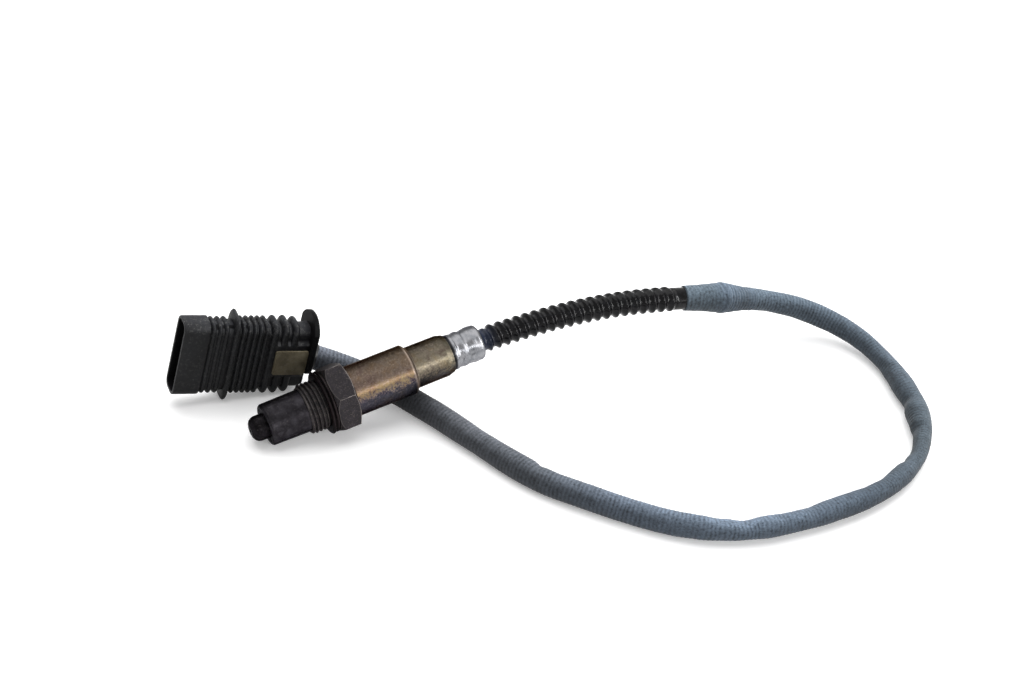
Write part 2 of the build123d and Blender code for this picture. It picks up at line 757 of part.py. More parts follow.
# ------------------------------------------------------------------ cuff over boot and cord
cuff_chord = cuff_end - boot_end
with BuildPart() as cord_cuff:
    with BuildSketch(Plane(origin=boot_end, x_dir=(0, 1, 0), z_dir=boot_heading)):
        Circle(cuff_d / 2)
    bulge_spot = boot_end + cuff_chord * 0.52
    with BuildSketch(Plane(origin=bulge_spot, x_dir=(0, 1, 0), z_dir=cuff_chord)):
        Circle(cuff_bulge_d / 2)
    taper_spot = boot_end + cuff_chord * 0.8
    with BuildSketch(Plane(origin=taper_spot, x_dir=(0, 1, 0), z_dir=cuff_chord)):
        Circle(cuff_end_d / 2 + 0.8)
    with BuildSketch(Plane(origin=cuff_end, x_dir=(0, 1, 0), z_dir=cord_in)):
        Circle(cuff_end_d / 2)
    loft(ruled=True)
cord_cuff.part.label = "cord_cuff"
export_step(cord_cuff.part, "parts/cord_cuff.step")

print("stub end", stub_end, "boot length", round(boot_length, 2))
print("tilt", round(tilt, 3), "floor", round(floor_z, 3), "lean", round(lean, 3), "mouth", conn.origin)
print("cord bend", tuple(round(v, 2) for v in route[-2]), "boot end", boot_end, "heading", boot_heading)
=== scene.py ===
import bpy
import bmesh
import json
import math
from bisect import bisect_left
from mathutils import Matrix, Vector, noise
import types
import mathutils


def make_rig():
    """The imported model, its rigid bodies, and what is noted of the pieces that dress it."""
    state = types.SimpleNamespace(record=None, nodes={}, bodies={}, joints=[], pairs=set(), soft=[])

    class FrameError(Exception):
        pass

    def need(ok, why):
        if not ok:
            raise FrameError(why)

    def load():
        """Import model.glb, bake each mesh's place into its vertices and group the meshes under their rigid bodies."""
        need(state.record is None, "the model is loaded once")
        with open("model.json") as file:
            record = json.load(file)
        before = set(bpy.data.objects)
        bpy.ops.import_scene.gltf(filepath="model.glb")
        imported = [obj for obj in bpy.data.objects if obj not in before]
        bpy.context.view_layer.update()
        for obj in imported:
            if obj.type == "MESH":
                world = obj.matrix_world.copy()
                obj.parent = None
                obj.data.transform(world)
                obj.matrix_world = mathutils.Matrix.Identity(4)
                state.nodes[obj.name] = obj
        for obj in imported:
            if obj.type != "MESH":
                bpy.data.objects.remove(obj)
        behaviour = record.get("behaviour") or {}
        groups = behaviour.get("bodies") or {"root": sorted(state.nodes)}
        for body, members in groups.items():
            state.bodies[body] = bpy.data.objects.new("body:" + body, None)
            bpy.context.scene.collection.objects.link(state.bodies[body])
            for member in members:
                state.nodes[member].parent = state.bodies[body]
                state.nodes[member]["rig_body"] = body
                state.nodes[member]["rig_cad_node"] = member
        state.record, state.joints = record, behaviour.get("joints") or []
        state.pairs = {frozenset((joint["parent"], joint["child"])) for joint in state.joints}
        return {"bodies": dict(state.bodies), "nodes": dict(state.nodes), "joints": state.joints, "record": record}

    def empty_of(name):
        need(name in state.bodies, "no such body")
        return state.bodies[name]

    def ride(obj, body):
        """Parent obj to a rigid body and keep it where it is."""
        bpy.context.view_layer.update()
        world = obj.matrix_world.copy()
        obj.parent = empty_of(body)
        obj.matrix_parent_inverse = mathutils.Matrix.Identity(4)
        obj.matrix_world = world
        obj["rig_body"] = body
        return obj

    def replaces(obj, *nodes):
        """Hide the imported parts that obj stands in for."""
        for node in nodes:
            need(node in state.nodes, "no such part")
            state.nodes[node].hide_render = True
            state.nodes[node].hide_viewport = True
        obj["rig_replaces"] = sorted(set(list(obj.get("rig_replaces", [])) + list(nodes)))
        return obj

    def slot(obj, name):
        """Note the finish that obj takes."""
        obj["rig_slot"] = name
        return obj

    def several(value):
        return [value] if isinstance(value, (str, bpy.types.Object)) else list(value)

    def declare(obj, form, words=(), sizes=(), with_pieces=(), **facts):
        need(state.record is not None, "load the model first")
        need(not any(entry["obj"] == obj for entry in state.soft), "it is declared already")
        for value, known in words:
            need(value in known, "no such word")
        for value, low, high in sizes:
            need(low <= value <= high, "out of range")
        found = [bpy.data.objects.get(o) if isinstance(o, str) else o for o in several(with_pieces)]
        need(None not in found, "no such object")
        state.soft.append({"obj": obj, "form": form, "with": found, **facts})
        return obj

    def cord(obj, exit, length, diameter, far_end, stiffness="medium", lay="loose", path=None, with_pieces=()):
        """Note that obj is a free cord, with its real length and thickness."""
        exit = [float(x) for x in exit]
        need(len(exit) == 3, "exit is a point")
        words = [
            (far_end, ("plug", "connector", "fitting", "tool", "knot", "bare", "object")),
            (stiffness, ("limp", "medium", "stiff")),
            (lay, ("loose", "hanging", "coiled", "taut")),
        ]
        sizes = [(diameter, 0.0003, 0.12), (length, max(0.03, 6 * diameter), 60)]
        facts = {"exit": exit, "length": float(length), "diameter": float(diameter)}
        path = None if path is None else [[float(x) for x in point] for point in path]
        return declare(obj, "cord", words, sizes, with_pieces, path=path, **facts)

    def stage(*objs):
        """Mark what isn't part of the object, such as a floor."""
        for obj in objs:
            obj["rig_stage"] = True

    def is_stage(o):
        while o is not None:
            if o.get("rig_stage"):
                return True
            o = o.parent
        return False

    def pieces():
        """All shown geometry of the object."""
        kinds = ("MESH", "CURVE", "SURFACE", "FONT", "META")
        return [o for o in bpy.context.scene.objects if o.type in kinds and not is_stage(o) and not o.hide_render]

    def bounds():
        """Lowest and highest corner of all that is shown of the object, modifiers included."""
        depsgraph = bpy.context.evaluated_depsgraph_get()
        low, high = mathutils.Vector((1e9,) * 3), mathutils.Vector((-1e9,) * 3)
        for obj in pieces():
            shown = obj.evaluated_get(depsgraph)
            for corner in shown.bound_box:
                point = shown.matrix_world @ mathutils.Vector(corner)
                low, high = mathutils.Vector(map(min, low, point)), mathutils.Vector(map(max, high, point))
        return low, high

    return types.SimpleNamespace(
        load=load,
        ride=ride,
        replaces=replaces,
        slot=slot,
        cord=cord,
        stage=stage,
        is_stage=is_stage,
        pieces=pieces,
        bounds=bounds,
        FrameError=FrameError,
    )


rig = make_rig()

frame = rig.load()
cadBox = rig.bounds()
nodes = frame["nodes"]
print("frame loaded")


def mm(*values):
    return Vector(values) * 0.001


def toLinear(hexColour):
    parts = [int(hexColour[i:i + 2], 16) / 255 for i in (1, 3, 5)]
    return tuple(p / 12.92 if p <= 0.04045 else ((p + 0.055) / 1.055) ** 2.4 for p in parts) + (1.0,)


# camera, in millimetres and degrees; pull is the focal length in pixels of a picture this wide
cameraSettings = {
    "place": (-273.0, -544.6, 459.2), "target": (86.8, 24.4, -12.1), "roll": 8.03,
    "pull": 2200.0, "pictureWidth": 1024.0, "sensor": 36.0,
}


def placeCamera():
    c = cameraSettings
    data = bpy.data.cameras.new("camera")
    data.sensor_width = c["sensor"]
    data.lens = c["sensor"] * c["pull"] / c["pictureWidth"]
    data.clip_start = 0.01
    data.clip_end = 20.0
    cam = bpy.data.objects.new("camera", data)
    bpy.context.collection.objects.link(cam)
    forward = (Vector(c["target"]) - Vector(c["place"])).normalized()
    right = forward.cross(Vector((0, 0, 1))).normalized()
    up = right.cross(forward)
    a = math.radians(c["roll"])
    turnedRight = right * math.cos(a) + up * math.sin(a)
    turnedUp = up * math.cos(a) - right * math.sin(a)
    turn = Matrix((turnedRight, turnedUp, -forward)).transposed().to_4x4()
    cam.matrix_world = Matrix.Translation(mm(*c["place"])) @ turn
    bpy.context.scene.camera = cam


placeCamera()
print("camera placed")

# how the probe and the connector lie, in millimetres and degrees
lie = {
    "floor": -12.064,
    "probeLean": 12.078,
    "mouth": (-43.9, 31.4, 8.161),
    "connectorLean": 8.233,
    "connectorTurn": -6.1,
}
probeLine = Vector((math.cos(math.radians(lie["probeLean"])), 0, math.sin(math.radians(lie["probeLean"]))))
probeSide = Vector((0, 1, 0))
probeUp = probeLine.cross(probeSide)
connLean = math.radians(lie["connectorLean"])
connTurn = math.radians(lie["connectorTurn"])
connLine = Vector((
    math.cos(connLean) * math.cos(connTurn), math.cos(connLean) * math.sin(connTurn), -math.sin(connLean),
))
connNear = Vector((math.sin(connTurn), -math.cos(connTurn), 0))
connUp = connNear.cross(connLine)


# an input that is another node's output is linked, and a plain number or colour is set
def addNode(tree, kind, settings=None, inputs=None):
    node = tree.nodes.new(kind)
    for key, value in (settings or {}).items():
        setattr(node, key, value)
    for key, value in (inputs or {}).items():
        if isinstance(value, bpy.types.NodeSocket):
            tree.links.new(value, node.inputs[key])
        else:
            node.inputs[key].default_value = value
    return node


def startMaterial(name, shader):
    material = bpy.data.materials.new(name)
    material.use_nodes = True
    tree = material.node_tree
    tree.nodes.clear()
    surface = addNode(tree, "ShaderNodeBsdfPrincipled", inputs=shader)
    addNode(tree, "ShaderNodeOutputMaterial", inputs={"Surface": surface.outputs["BSDF"]})
    return material, tree, surface


def reckon(tree, operation, *terms):
    return addNode(tree, "ShaderNodeMath", {"operation": operation}, dict(enumerate(terms))).outputs[0]


def spanned(tree, source, low, high, toLow=0.0, toHigh=1.0, easing="LINEAR"):
    inputs = dict(enumerate((source, low, high, toLow, toHigh)))
    return addNode(tree, "ShaderNodeMapRange", {"interpolation_type": easing}, inputs).outputs[0]


def dotted(tree, vector, axis):
    return addNode(tree, "ShaderNodeVectorMath", {"operation": "DOT_PRODUCT"}, {0: vector, 1: axis}).outputs["Value"]


def scaled(tree, colour, amount):
    return addNode(tree, "ShaderNodeVectorMath", {"operation": "SCALE"}, {0: colour, "Scale": amount}).outputs[0]


def blended(tree, factor, first, second, way="MIX"):
    settings = {"data_type": "RGBA", "blend_type": way}
    return addNode(tree, "ShaderNodeMix", settings, {0: factor, 6: first, 7: second}).outputs[2]


def noiseAt(tree, place, scale, detail, roughness=0.5, distortion=0.0):
    inputs = {"Vector": place, "Scale": scale, "Detail": detail, "Roughness": roughness, "Distortion": distortion}
    return addNode(tree, "ShaderNodeTexNoise", inputs=inputs).outputs["Fac"]


def bumped(tree, surface, height, strength, distance, normal=None):
    inputs = {"Height": height, "Strength": strength, "Distance": distance}
    if normal is not None:
        inputs["Normal"] = normal
    tree.links.new(addNode(tree, "ShaderNodeBump", inputs=inputs).outputs[0], surface.inputs["Normal"])


def objectPlace(tree):
    return addNode(tree, "ShaderNodeTexCoord").outputs["Object"]


def stripPlace(tree):
    return addNode(tree, "ShaderNodeUVMap", {"uv_map": "along"}).outputs[0]


def split(tree, vector):
    return tuple(addNode(tree, "ShaderNodeSeparateXYZ", inputs={0: vector}).outputs)


# object coordinates turned to run across the probe, up from it and along its line, in metres
def probePlace(tree):
    place = objectPlace(tree)
    turned = [dotted(tree, place, axis) for axis in (probeSide, probeUp, probeLine)]
    return addNode(tree, "ShaderNodeCombineXYZ", inputs=dict(enumerate(turned))).outputs[0]


def ramp(tree, factor, stops):
    node = addNode(tree, "ShaderNodeValToRGB", inputs={0: factor})
    while len(node.color_ramp.elements) < len(stops):
        node.color_ramp.elements.new(0.5)
    for element, (at, colour) in zip(node.color_ramp.elements, stops):
        element.position = at
        element.color = colour if isinstance(colour, tuple) else toLinear(colour)
    return node.outputs["Color"]


def grey(level):
    return (level, level, level, 1.0)


def fadeIn(tree, factor, low, high, top=1.0):
    return ramp(tree, factor, ((low, grey(0.0)), (high, grey(top))))


# painted light and shade: the colour of whatever faces one way, up unless told otherwise,
# is scaled from below to above, lighter where light falls and darker where shade falls
def paintedLightAndShade(tree, colour, below, above, way=(0.0, 0.0, 1.0)):
    facing = dotted(tree, addNode(tree, "ShaderNodeNewGeometry").outputs["Normal"], way)
    return scaled(tree, colour, spanned(tree, facing, -0.35, 0.9, below, above, "SMOOTHSTEP"))


def clamped(t):
    return min(max(t, 0.0), 1.0)


def eased(t):
    t = clamped(t)
    return t * t * (3 - 2 * t)


# a smooth bump field wrapped round a tube, between about -1 and 1
def ripple(d, angle, along, around, shift=0.0):
    return noise.noise(Vector((d * along, math.cos(angle) * around + shift, math.sin(angle) * around)))


def onProbe(station, angle, radius):
    return (probeLine * station + (probeSide * math.cos(angle) + probeUp * math.sin(angle)) * radius) * 0.001


def routeCurve(name, points):
    data = bpy.data.curves.new(name, "CURVE")
    data.dimensions = "3D"
    data.resolution_u = 40
    spline = data.splines.new("NURBS")
    spline.points.add(len(points) - 1)
    for at, point in zip(spline.points, points):
        at.co = (*mm(*point), 1.0)
    spline.order_u = 3
    spline.use_endpoint_u = True
    return bpy.data.objects.new(name, data)


def readLine(curve):
    flat = bpy.data.meshes.new_from_object(curve)
    line = [v.co.copy() for v in flat.vertices]
    bpy.data.meshes.remove(flat)
    return line


def measured(line):
    marks = [0.0]
    for a, b in zip(line, line[1:]):
        marks.append(marks[-1] + (b - a).length)
    return marks


def evenLine(line, step):
    marks = measured(line)
    count = max(2, round(marks[-1] / step))
    spread = []
    for i in range(count + 1):
        d = marks[-1] * i / count
        k = min(max(bisect_left(marks, d), 1), len(line) - 1)
        t = (d - marks[k - 1]) / (marks[k] - marks[k - 1])
        spread.append(line[k - 1].lerp(line[k], t))
    return spread


# place, side, other side and direction at each point, carried along without twist from a side that starts upward
def carriedFrames(line):
    frames = []
    side = Vector((0, 0, 1))
    for i, point in enumerate(line):
        ahead = line[min(i + 1, len(line) - 1)] - line[max(i - 1, 0)]
        ahead.normalize()
        side = (side - ahead * side.dot(ahead)).normalized()
        frames.append((point, side, ahead.cross(side), ahead))
    return frames


# a size read from a table of rows that start with their distance
def between(table, d, column=1):
    marks = [row[0] for row in table]
    k = min(max(bisect_left(marks, d), 1), len(table) - 1)
    t = eased((d - marks[k - 1]) / (marks[k] - marks[k - 1]))
    return table[k - 1][column] + (table[k][column] - table[k - 1][column]) * t


# a flat strip of rows is rolled up and welded; placeAt(row, angle) gives each corner its place
def rollStrip(rows, segments, placeAt, marks=None, close=True):
    strip = bmesh.new()
    bmesh.ops.create_grid(strip, x_segments=rows - 1, y_segments=segments, size=1.0)
    uv = strip.loops.layers.uv.new("along")
    last = rows - 1
    for face in strip.faces:
        for loop in face.loops:
            i = round((loop.vert.co.x + 1) / 2 * last)
            loop[uv].uv = (marks[i] if marks else i / last, (loop.vert.co.y + 1) / 2)
    for vert in strip.verts:
        vert.co = placeAt(round((vert.co.x + 1) / 2 * last), (vert.co.y + 1) * math.pi)
    bmesh.ops.remove_doubles(strip, verts=strip.verts, dist=1e-6)
    if close:
        rims = [e for e in strip.edges if e.is_boundary]
        bmesh.ops.holes_fill(strip, edges=rims, sides=0)
    return strip


def finishPiece(name, mesh, material, slot, crease=40):
    bmesh.ops.recalc_face_normals(mesh, faces=mesh.faces)
    data = bpy.data.meshes.new(name)
    mesh.to_mesh(data)
    mesh.free()
    # a welded copy still carries the shading of the mesh it came from
    if "custom_normal" in data.attributes:
        data.attributes.remove(data.attributes["custom_normal"])
    data.polygons.foreach_set("use_smooth", [True] * len(data.polygons))
    data.set_sharp_from_angle(angle=math.radians(crease))
    data.materials.append(material)
    piece = bpy.data.objects.new(name, data)
    bpy.context.collection.objects.link(piece)
    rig.ride(piece, "root")
    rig.slot(piece, slot)
    return piece


# radiusAt(distance, angle) takes and gives millimetres; angle 0 is up, a quarter turn on is ahead x up
def rollTube(name, line, step, segments, radiusAt, material, slot, lowest=None, slantAt=None):
    spread = evenLine(line, step * 0.001)
    frames = carriedFrames(spread)
    marks = measured(spread)

    def placeAt(row, angle):
        point, side, other, ahead = frames[row]
        r = radiusAt(marks[row] * 1000, angle) * 0.001
        place = point + (side * math.cos(angle) + other * math.sin(angle)) * r
        if slantAt:
            place += ahead * slantAt(marks[row] * 1000, angle) * 0.001
        if lowest is not None:
            place.z = max(place.z, lowest * 0.001)
        return place

    return finishPiece(name, rollStrip(len(spread), segments, placeAt, marks), material, slot)


# stainless steel, deep drawn and turned, browned almost black by exhaust heat:
# dull, with soft mottling, pale specks of dust and faint turning lines
def heatBlackenedSteel(name, base, stain):
    material, tree, surface = startMaterial(name, {
        "Metallic": 0.85, "Specular IOR Level": 0.15, "Specular Tint": (0.3, 0.3, 0.32, 1.0),
    })
    place = probePlace(tree)
    cloud = noiseAt(tree, place, 260.0, 6.0, 0.62)
    speck = noiseAt(tree, place, 1900.0, 3.0, 0.6)
    colour = ramp(tree, cloud, ((0.32, base), (0.55, stain), (0.72, base)))
    dust = reckon(tree, "MULTIPLY", fadeIn(tree, speck, 0.58, 0.74), 0.07)
    dusty = blended(tree, dust, colour, toLinear("#b9b2ab"), "ADD")
    # painted shade: faces that point up are darkened to half
    tree.links.new(paintedLightAndShade(tree, dusty, 1.05, 0.5), surface.inputs["Base Color"])
    tree.links.new(spanned(tree, cloud, 0.3, 0.7, 0.3, 0.46), surface.inputs["Roughness"])
    lines = addNode(tree, "ShaderNodeTexWave", {"wave_type": "BANDS", "bands_direction": "Z"}, {
        "Vector": place, "Scale": 420.0, "Distortion": 1.2, "Detail": 3.0, "Detail Scale": 2.0,
    }).outputs["Fac"]
    bumped(tree, surface, reckon(tree, "MULTIPLY_ADD", lines, 0.35, speck), 0.35, 0.00005)
    return material


# turned and milled steel shell, browned by heat; hex edges and thread crests are rubbed
# to thin bright lines where a wrench and a bung have touched them
def wornShellSteel(name, base, stain, worn):
    material, tree, surface = startMaterial(name, {
        "Metallic": 0.8, "Specular IOR Level": 0.15, "Specular Tint": (0.35, 0.33, 0.33, 1.0),
    })
    place = probePlace(tree)
    station = split(tree, place)[2]
    cloud = noiseAt(tree, place, 300.0, 6.0, 0.65)
    speck = noiseAt(tree, place, 2300.0, 3.0, 0.65)
    colour = ramp(tree, cloud, ((0.34, base), (0.5, stain), (0.68, base)))
    dust = reckon(tree, "MULTIPLY", fadeIn(tree, speck, 0.56, 0.72), 0.2)
    dusty = blended(tree, dust, colour, toLinear("#a89d94"))
    # painted shade in the corner by the gasket: the colour is darkened there
    cornerShaded = scaled(tree, dusty, spanned(tree, station, 0.0002, 0.0018, 0.9, 1.0))
    # an edge is where a broad bevel leans away from the face
    broad = addNode(tree, "ShaderNodeBevel", {"samples": 8}, {"Radius": 0.0005}).outputs[0]
    straight = addNode(tree, "ShaderNodeNewGeometry").outputs["Normal"]
    edge = spanned(tree, dotted(tree, broad, straight), 0.99, 0.9)
    patchy = spanned(tree, cloud, 0.36, 0.58, 0.25, 1.0)
    onHex = spanned(tree, station, 0.001, 0.005, 0.3, 1.0)
    rubbed = reckon(tree, "MULTIPLY", reckon(tree, "MULTIPLY", edge, patchy), onHex)
    bright = blended(tree, rubbed, cornerShaded, toLinear(worn))
    # painted shade: faces that point up are darkened
    tree.links.new(paintedLightAndShade(tree, bright, 1.15, 0.6), surface.inputs["Base Color"])
    tree.links.new(spanned(tree, rubbed, 0.0, 1.0, 0.45, 0.34), surface.inputs["Roughness"])
    rounded = addNode(tree, "ShaderNodeBevel", {"samples": 6}, {"Radius": 0.00022}).outputs[0]
    bumped(tree, surface, speck, 0.3, 0.00005, rounded)
    return material


# the sleeve's tints by height round it, partly heat tint and partly painted light and shade: painted shade below,
# a lighter gold band as painted highlight on the near side, and brown above; the wide part has been hotter than the
# narrow one
sleeveTintsAndPaintedLight = {
    "wide": (
        (0.0, "#34353c"), (0.28, "#3a3a42"), (0.33, "#4d484c"), (0.37, "#645a50"), (0.43, "#66583f"),
        (0.52, "#554a42"), (0.7, "#453d36"), (0.85, "#38322c"), (1.0, "#35302b"),
    ),
    "narrow": (
        (0.0, "#3c3a3b"), (0.2, "#434142"), (0.33, "#5f584d"), (0.5, "#5d574b"), (0.7, "#443f37"),
        (0.85, "#35312b"), (1.0, "#34302a"),
    ),
    "patches": ((0.35, "#d8ccd4"), (0.5, "#ffffff"), (0.68, "#fff0dc")),
    "fromHex": ((0.0, "#fffafa"), (0.3, "#ffffff"), (0.8, "#ffffff"), (1.0, "#f7fcf8")),
    # the colour of the rubbed specks, and also of the painted highlight on the shoulder
    "rubbed": "#a5958a",
}


# drawn stainless sleeve: brown heat tint, with a lighter straw gold band on the near side as a painted highlight
# and dull purple-grey below as painted shade, speckled where the scale has been rubbed off
def temperedSleeve():
    s = sleeveTintsAndPaintedLight
    material, tree, surface = startMaterial("temperedDrawnSteel", {
        "Metallic": 1.0, "Roughness": 0.4, "Specular Tint": (0.34, 0.31, 0.28, 1.0),
    })
    place = probePlace(tree)
    across, up, station = split(tree, place)
    cloud = noiseAt(tree, place, 170.0, 7.0, 0.7, 0.3)
    grain = noiseAt(tree, place, 1500.0, 5.0, 0.75)
    # height is the angle round the sleeve from its near side, and the noises make each tint's edge wander
    height = reckon(tree, "ARCTAN2", up, reckon(tree, "MULTIPLY", across, -1.0))
    shifted = reckon(tree, "ADD", height, reckon(tree, "MULTIPLY_ADD", cloud, 0.5, -0.25))
    ragged = reckon(tree, "ADD", shifted, reckon(tree, "MULTIPLY_ADD", grain, 1.1, -0.55))
    turned = spanned(tree, ragged, -0.6, 1.9)
    wide = ramp(tree, turned, s["wide"])
    narrow = ramp(tree, turned, s["narrow"])
    base = blended(tree, spanned(tree, station, 0.0300, 0.0312), wide, narrow)
    toned = blended(tree, 1.0, base, ramp(tree, cloud, s["patches"]), "MULTIPLY")
    # a touch redder by the hex, where it ran hottest, and greener by the crimp
    heated = ramp(tree, spanned(tree, station, 0.0135, 0.0462), s["fromHex"])
    warmed = blended(tree, 1.0, toned, heated, "MULTIPLY")
    tinted = scaled(tree, warmed, spanned(tree, grain, 0.3, 0.7, 0.5, 1.5))
    # the shoulder gets a pale line as a painted highlight, and the rest is rubbed to a few specks
    shoulderHighlight = ramp(tree, spanned(tree, station, 0.0290, 0.0330), (
        (0.2, grey(0.0)), (0.36, grey(1.0)), (0.6, grey(0.8)), (0.75, grey(0.0)),
    ))
    line = reckon(tree, "MULTIPLY", shoulderHighlight, 0.34)
    speck = reckon(tree, "MULTIPLY", fadeIn(tree, grain, 0.56, 0.7), 0.12)
    bright = blended(tree, reckon(tree, "MAXIMUM", speck, line), tinted, toLinear(s["rubbed"]))
    tree.links.new(bright, surface.inputs["Base Color"])
    tree.links.new(spanned(tree, cloud, 0.3, 0.7, 0.27, 0.42), surface.inputs["Roughness"])
    bumped(tree, surface, grain, 0.3, 0.00005)
    return material


# bright drawn steel, crimped: clean silver with fine lines round it and slight dulling in the crimps
def brightSteel(name, base, dull):
    material, tree, surface = startMaterial(name, {
        "Metallic": 1.0, "Roughness": 0.3, "Specular Tint": (0.5, 0.5, 0.52, 1.0),
    })
    place = probePlace(tree)
    colour = ramp(tree, noiseAt(tree, place, 320.0, 5.0, 0.6), ((0.35, dull), (0.6, base)))
    # painted shadow: a dark ring where the crimp meets the sleeve's end
    shadowedAtSleeveEnd = scaled(tree, colour, spanned(tree, split(tree, place)[2], 0.0471, 0.0476, 0.08, 1.0))
    # painted shade: faces that point up are darkened
    tree.links.new(paintedLightAndShade(tree, shadowedAtSleeveEnd, 1.2, 0.6), surface.inputs["Base Color"])
    stretched = addNode(tree, "ShaderNodeVectorMath", {"operation": "MULTIPLY"}, {0: place, 1: (0.2, 0.2, 2.0)})
    lines = noiseAt(tree, stretched.outputs[0], 1500.0, 3.0)
    tree.links.new(spanned(tree, lines, 0.3, 0.7, 0.2, 0.38), surface.inputs["Roughness"])
    bumped(tree, surface, lines, 0.2, 0.00004)
    return material


# moulded plastic or rubber with a spark-eroded grain: grain is the size of a pit in millimetres,
# dust the strength of the pale specks, and shade the levels of painted shade below and painted light above
def mouldedPlastic(name, base, patch, grain, roughness, specular, depth=0.3, dust=0.0, shade=(0.6, 1.15)):
    material, tree, surface = startMaterial(name, {"Roughness": roughness, "Specular IOR Level": specular})
    place = objectPlace(tree)
    colour = ramp(tree, noiseAt(tree, place, 120.0, 7.0, 0.7), ((0.35, base), (0.65, patch)))
    if dust:
        specks = fadeIn(tree, noiseAt(tree, place, 900.0, 5.0, 0.75), 0.52, 0.75, dust)
        colour = blended(tree, specks, colour, toLinear("#8b8a86"))
    # painted light and shade: faces that point up are lighter and faces that point down darker
    tree.links.new(paintedLightAndShade(tree, colour, *shade), surface.inputs["Base Color"])
    bumped(tree, surface, noiseAt(tree, place, 1000.0 / grain, 2.0), depth, 0.00006)
    return material


# blow-moulded boot: glossy black with a little dust, blue-black on the tapered collar by the crimp
def glossyBoot(name):
    material, tree, surface = startMaterial(name, {"Roughness": 0.15, "Specular IOR Level": 0.13})
    start = spanned(tree, split(tree, stripPlace(tree))[0], 0.0035, 0.009)
    tint = ramp(tree, start, ((0.0, "#1b2233"), (1.0, "#050506")))
    cloud = noiseAt(tree, objectPlace(tree), 500.0, 5.0, 0.7)
    dusty = blended(tree, fadeIn(tree, cloud, 0.5, 0.8, 0.1), tint, toLinear("#6d6f78"))
    tree.links.new(dusty, surface.inputs["Base Color"])
    bumped(tree, surface, cloud, 0.15, 0.0001)
    return material


# fired ceramic or pressed powder inside the probe: chalky, faintly speckled
def firedCeramic(name, base, speckColour):
    material, tree, surface = startMaterial(name, {"Roughness": 0.7, "Specular IOR Level": 0.4})
    speck = noiseAt(tree, objectPlace(tree), 1400.0, 2.0)
    tree.links.new(ramp(tree, speck, ((0.4, base), (0.7, speckColour))), surface.inputs["Base Color"])
    bumped(tree, surface, speck, 0.2, 0.00004)
    return material


# knitted glass-fibre sleeve with a slate coating: matte, soft crosswise ribs, fine crossed yarns.
# The yarns are really about 0.25 mm apart and are drawn at 0.6 mm so that they show.
# The side that faces this way is painted lighter as painted light, and the side facing away darker as painted shade.
sleeveSettings = {"rib": 1.45, "yarn": 0.6, "around": 27.0, "toneLength": 380.0, "paintedLightWay": (0.66, 0.25, 0.71)}


def wovenSleeve(name, tones):
    s = sleeveSettings
    material, tree, surface = startMaterial(name, {
        "Roughness": 0.86, "Specular IOR Level": 0.18, "Sheen Weight": 0.12, "Sheen Roughness": 0.5,
    })
    place = split(tree, stripPlace(tree))
    along = reckon(tree, "MULTIPLY", place[0], 1000.0)
    around = reckon(tree, "MULTIPLY", place[1], s["around"])
    cloth = addNode(tree, "ShaderNodeCombineXYZ", inputs={0: along, 1: around}).outputs[0]
    base = ramp(tree, reckon(tree, "MULTIPLY", along, 1 / s["toneLength"]), tones)
    # ribs wander, and show more in some stretches than in others
    ribs = reckon(tree, "MULTIPLY", along, 2 * math.pi / s["rib"])
    wave = reckon(tree, "SINE", reckon(tree, "MULTIPLY_ADD", noiseAt(tree, cloth, 0.12, 3.0), 9.0, ribs))
    strength = spanned(tree, noiseAt(tree, cloth, 0.05, 2.0), 0.35, 0.65, 0.45, 1.0)
    shown = reckon(tree, "MULTIPLY", reckon(tree, "MULTIPLY", wave, 0.5), strength)
    crossed = []
    for way in ("ADD", "SUBTRACT"):
        turned = reckon(tree, "MULTIPLY", reckon(tree, way, along, around), math.sqrt(2) * math.pi / s["yarn"])
        crossed.append(reckon(tree, "SINE", turned))
    yarn = reckon(tree, "MULTIPLY", *crossed)
    # the coating is blotched every few millimetres, and fuzzy
    fuzz = noiseAt(tree, cloth, 1.1, 5.0, 0.75)
    level = reckon(tree, "MULTIPLY_ADD", shown, 0.55, 0.95)
    blotch = spanned(tree, noiseAt(tree, cloth, 0.28, 4.0, 0.7), 0.32, 0.68, -0.26, 0.26)
    speck = spanned(tree, fuzz, 0.34, 0.66, -0.42, 0.44)
    mottled = reckon(tree, "ADD", reckon(tree, "ADD", level, blotch), speck)
    toned = scaled(tree, base, reckon(tree, "MULTIPLY_ADD", yarn, 0.06, mottled))
    # painted light and shade: the side facing right and back is lighter, the other side darker
    tree.links.new(paintedLightAndShade(tree, toned, 0.45, 1.3, s["paintedLightWay"]), surface.inputs["Base Color"])
    height = reckon(tree, "ADD", reckon(tree, "MULTIPLY_ADD", yarn, 0.35, shown), fuzz)
    bumped(tree, surface, height, 0.5, 0.00018)
    return material


# tones along the cord and the cuff, as shares of toneLength; along the cord they are partly its own tone and partly
# painted light and shade, and the dark tone at 0.91 is a painted shadow where the cord runs under the probe's sleeve
cordTonesAndShade = (
    (0.0, "#56636f"), (0.1, "#4e5964"), (0.18, "#4a545e"), (0.3, "#404950"), (0.42, "#414b56"), (0.55, "#606d7c"),
    (0.66, "#58626f"), (0.74, "#4b5057"), (0.84, "#54575d"), (0.91, "#2c2d31"), (0.96, "#555a62"), (1.0, "#666b75"),
)
cuffTones = ((0.0, "#525e68"), (0.03, "#4b5761"), (0.045, "#556270"), (0.07, "#4a5560"), (0.09, "#566370"))
slateSleeve = wovenSleeve("coatedGlassSleeve", cordTonesAndShade)
slateCuff = wovenSleeve("tapedFabricCuff", cuffTones)
blackBoot = glossyBoot("mouldedPolyamideBoot")
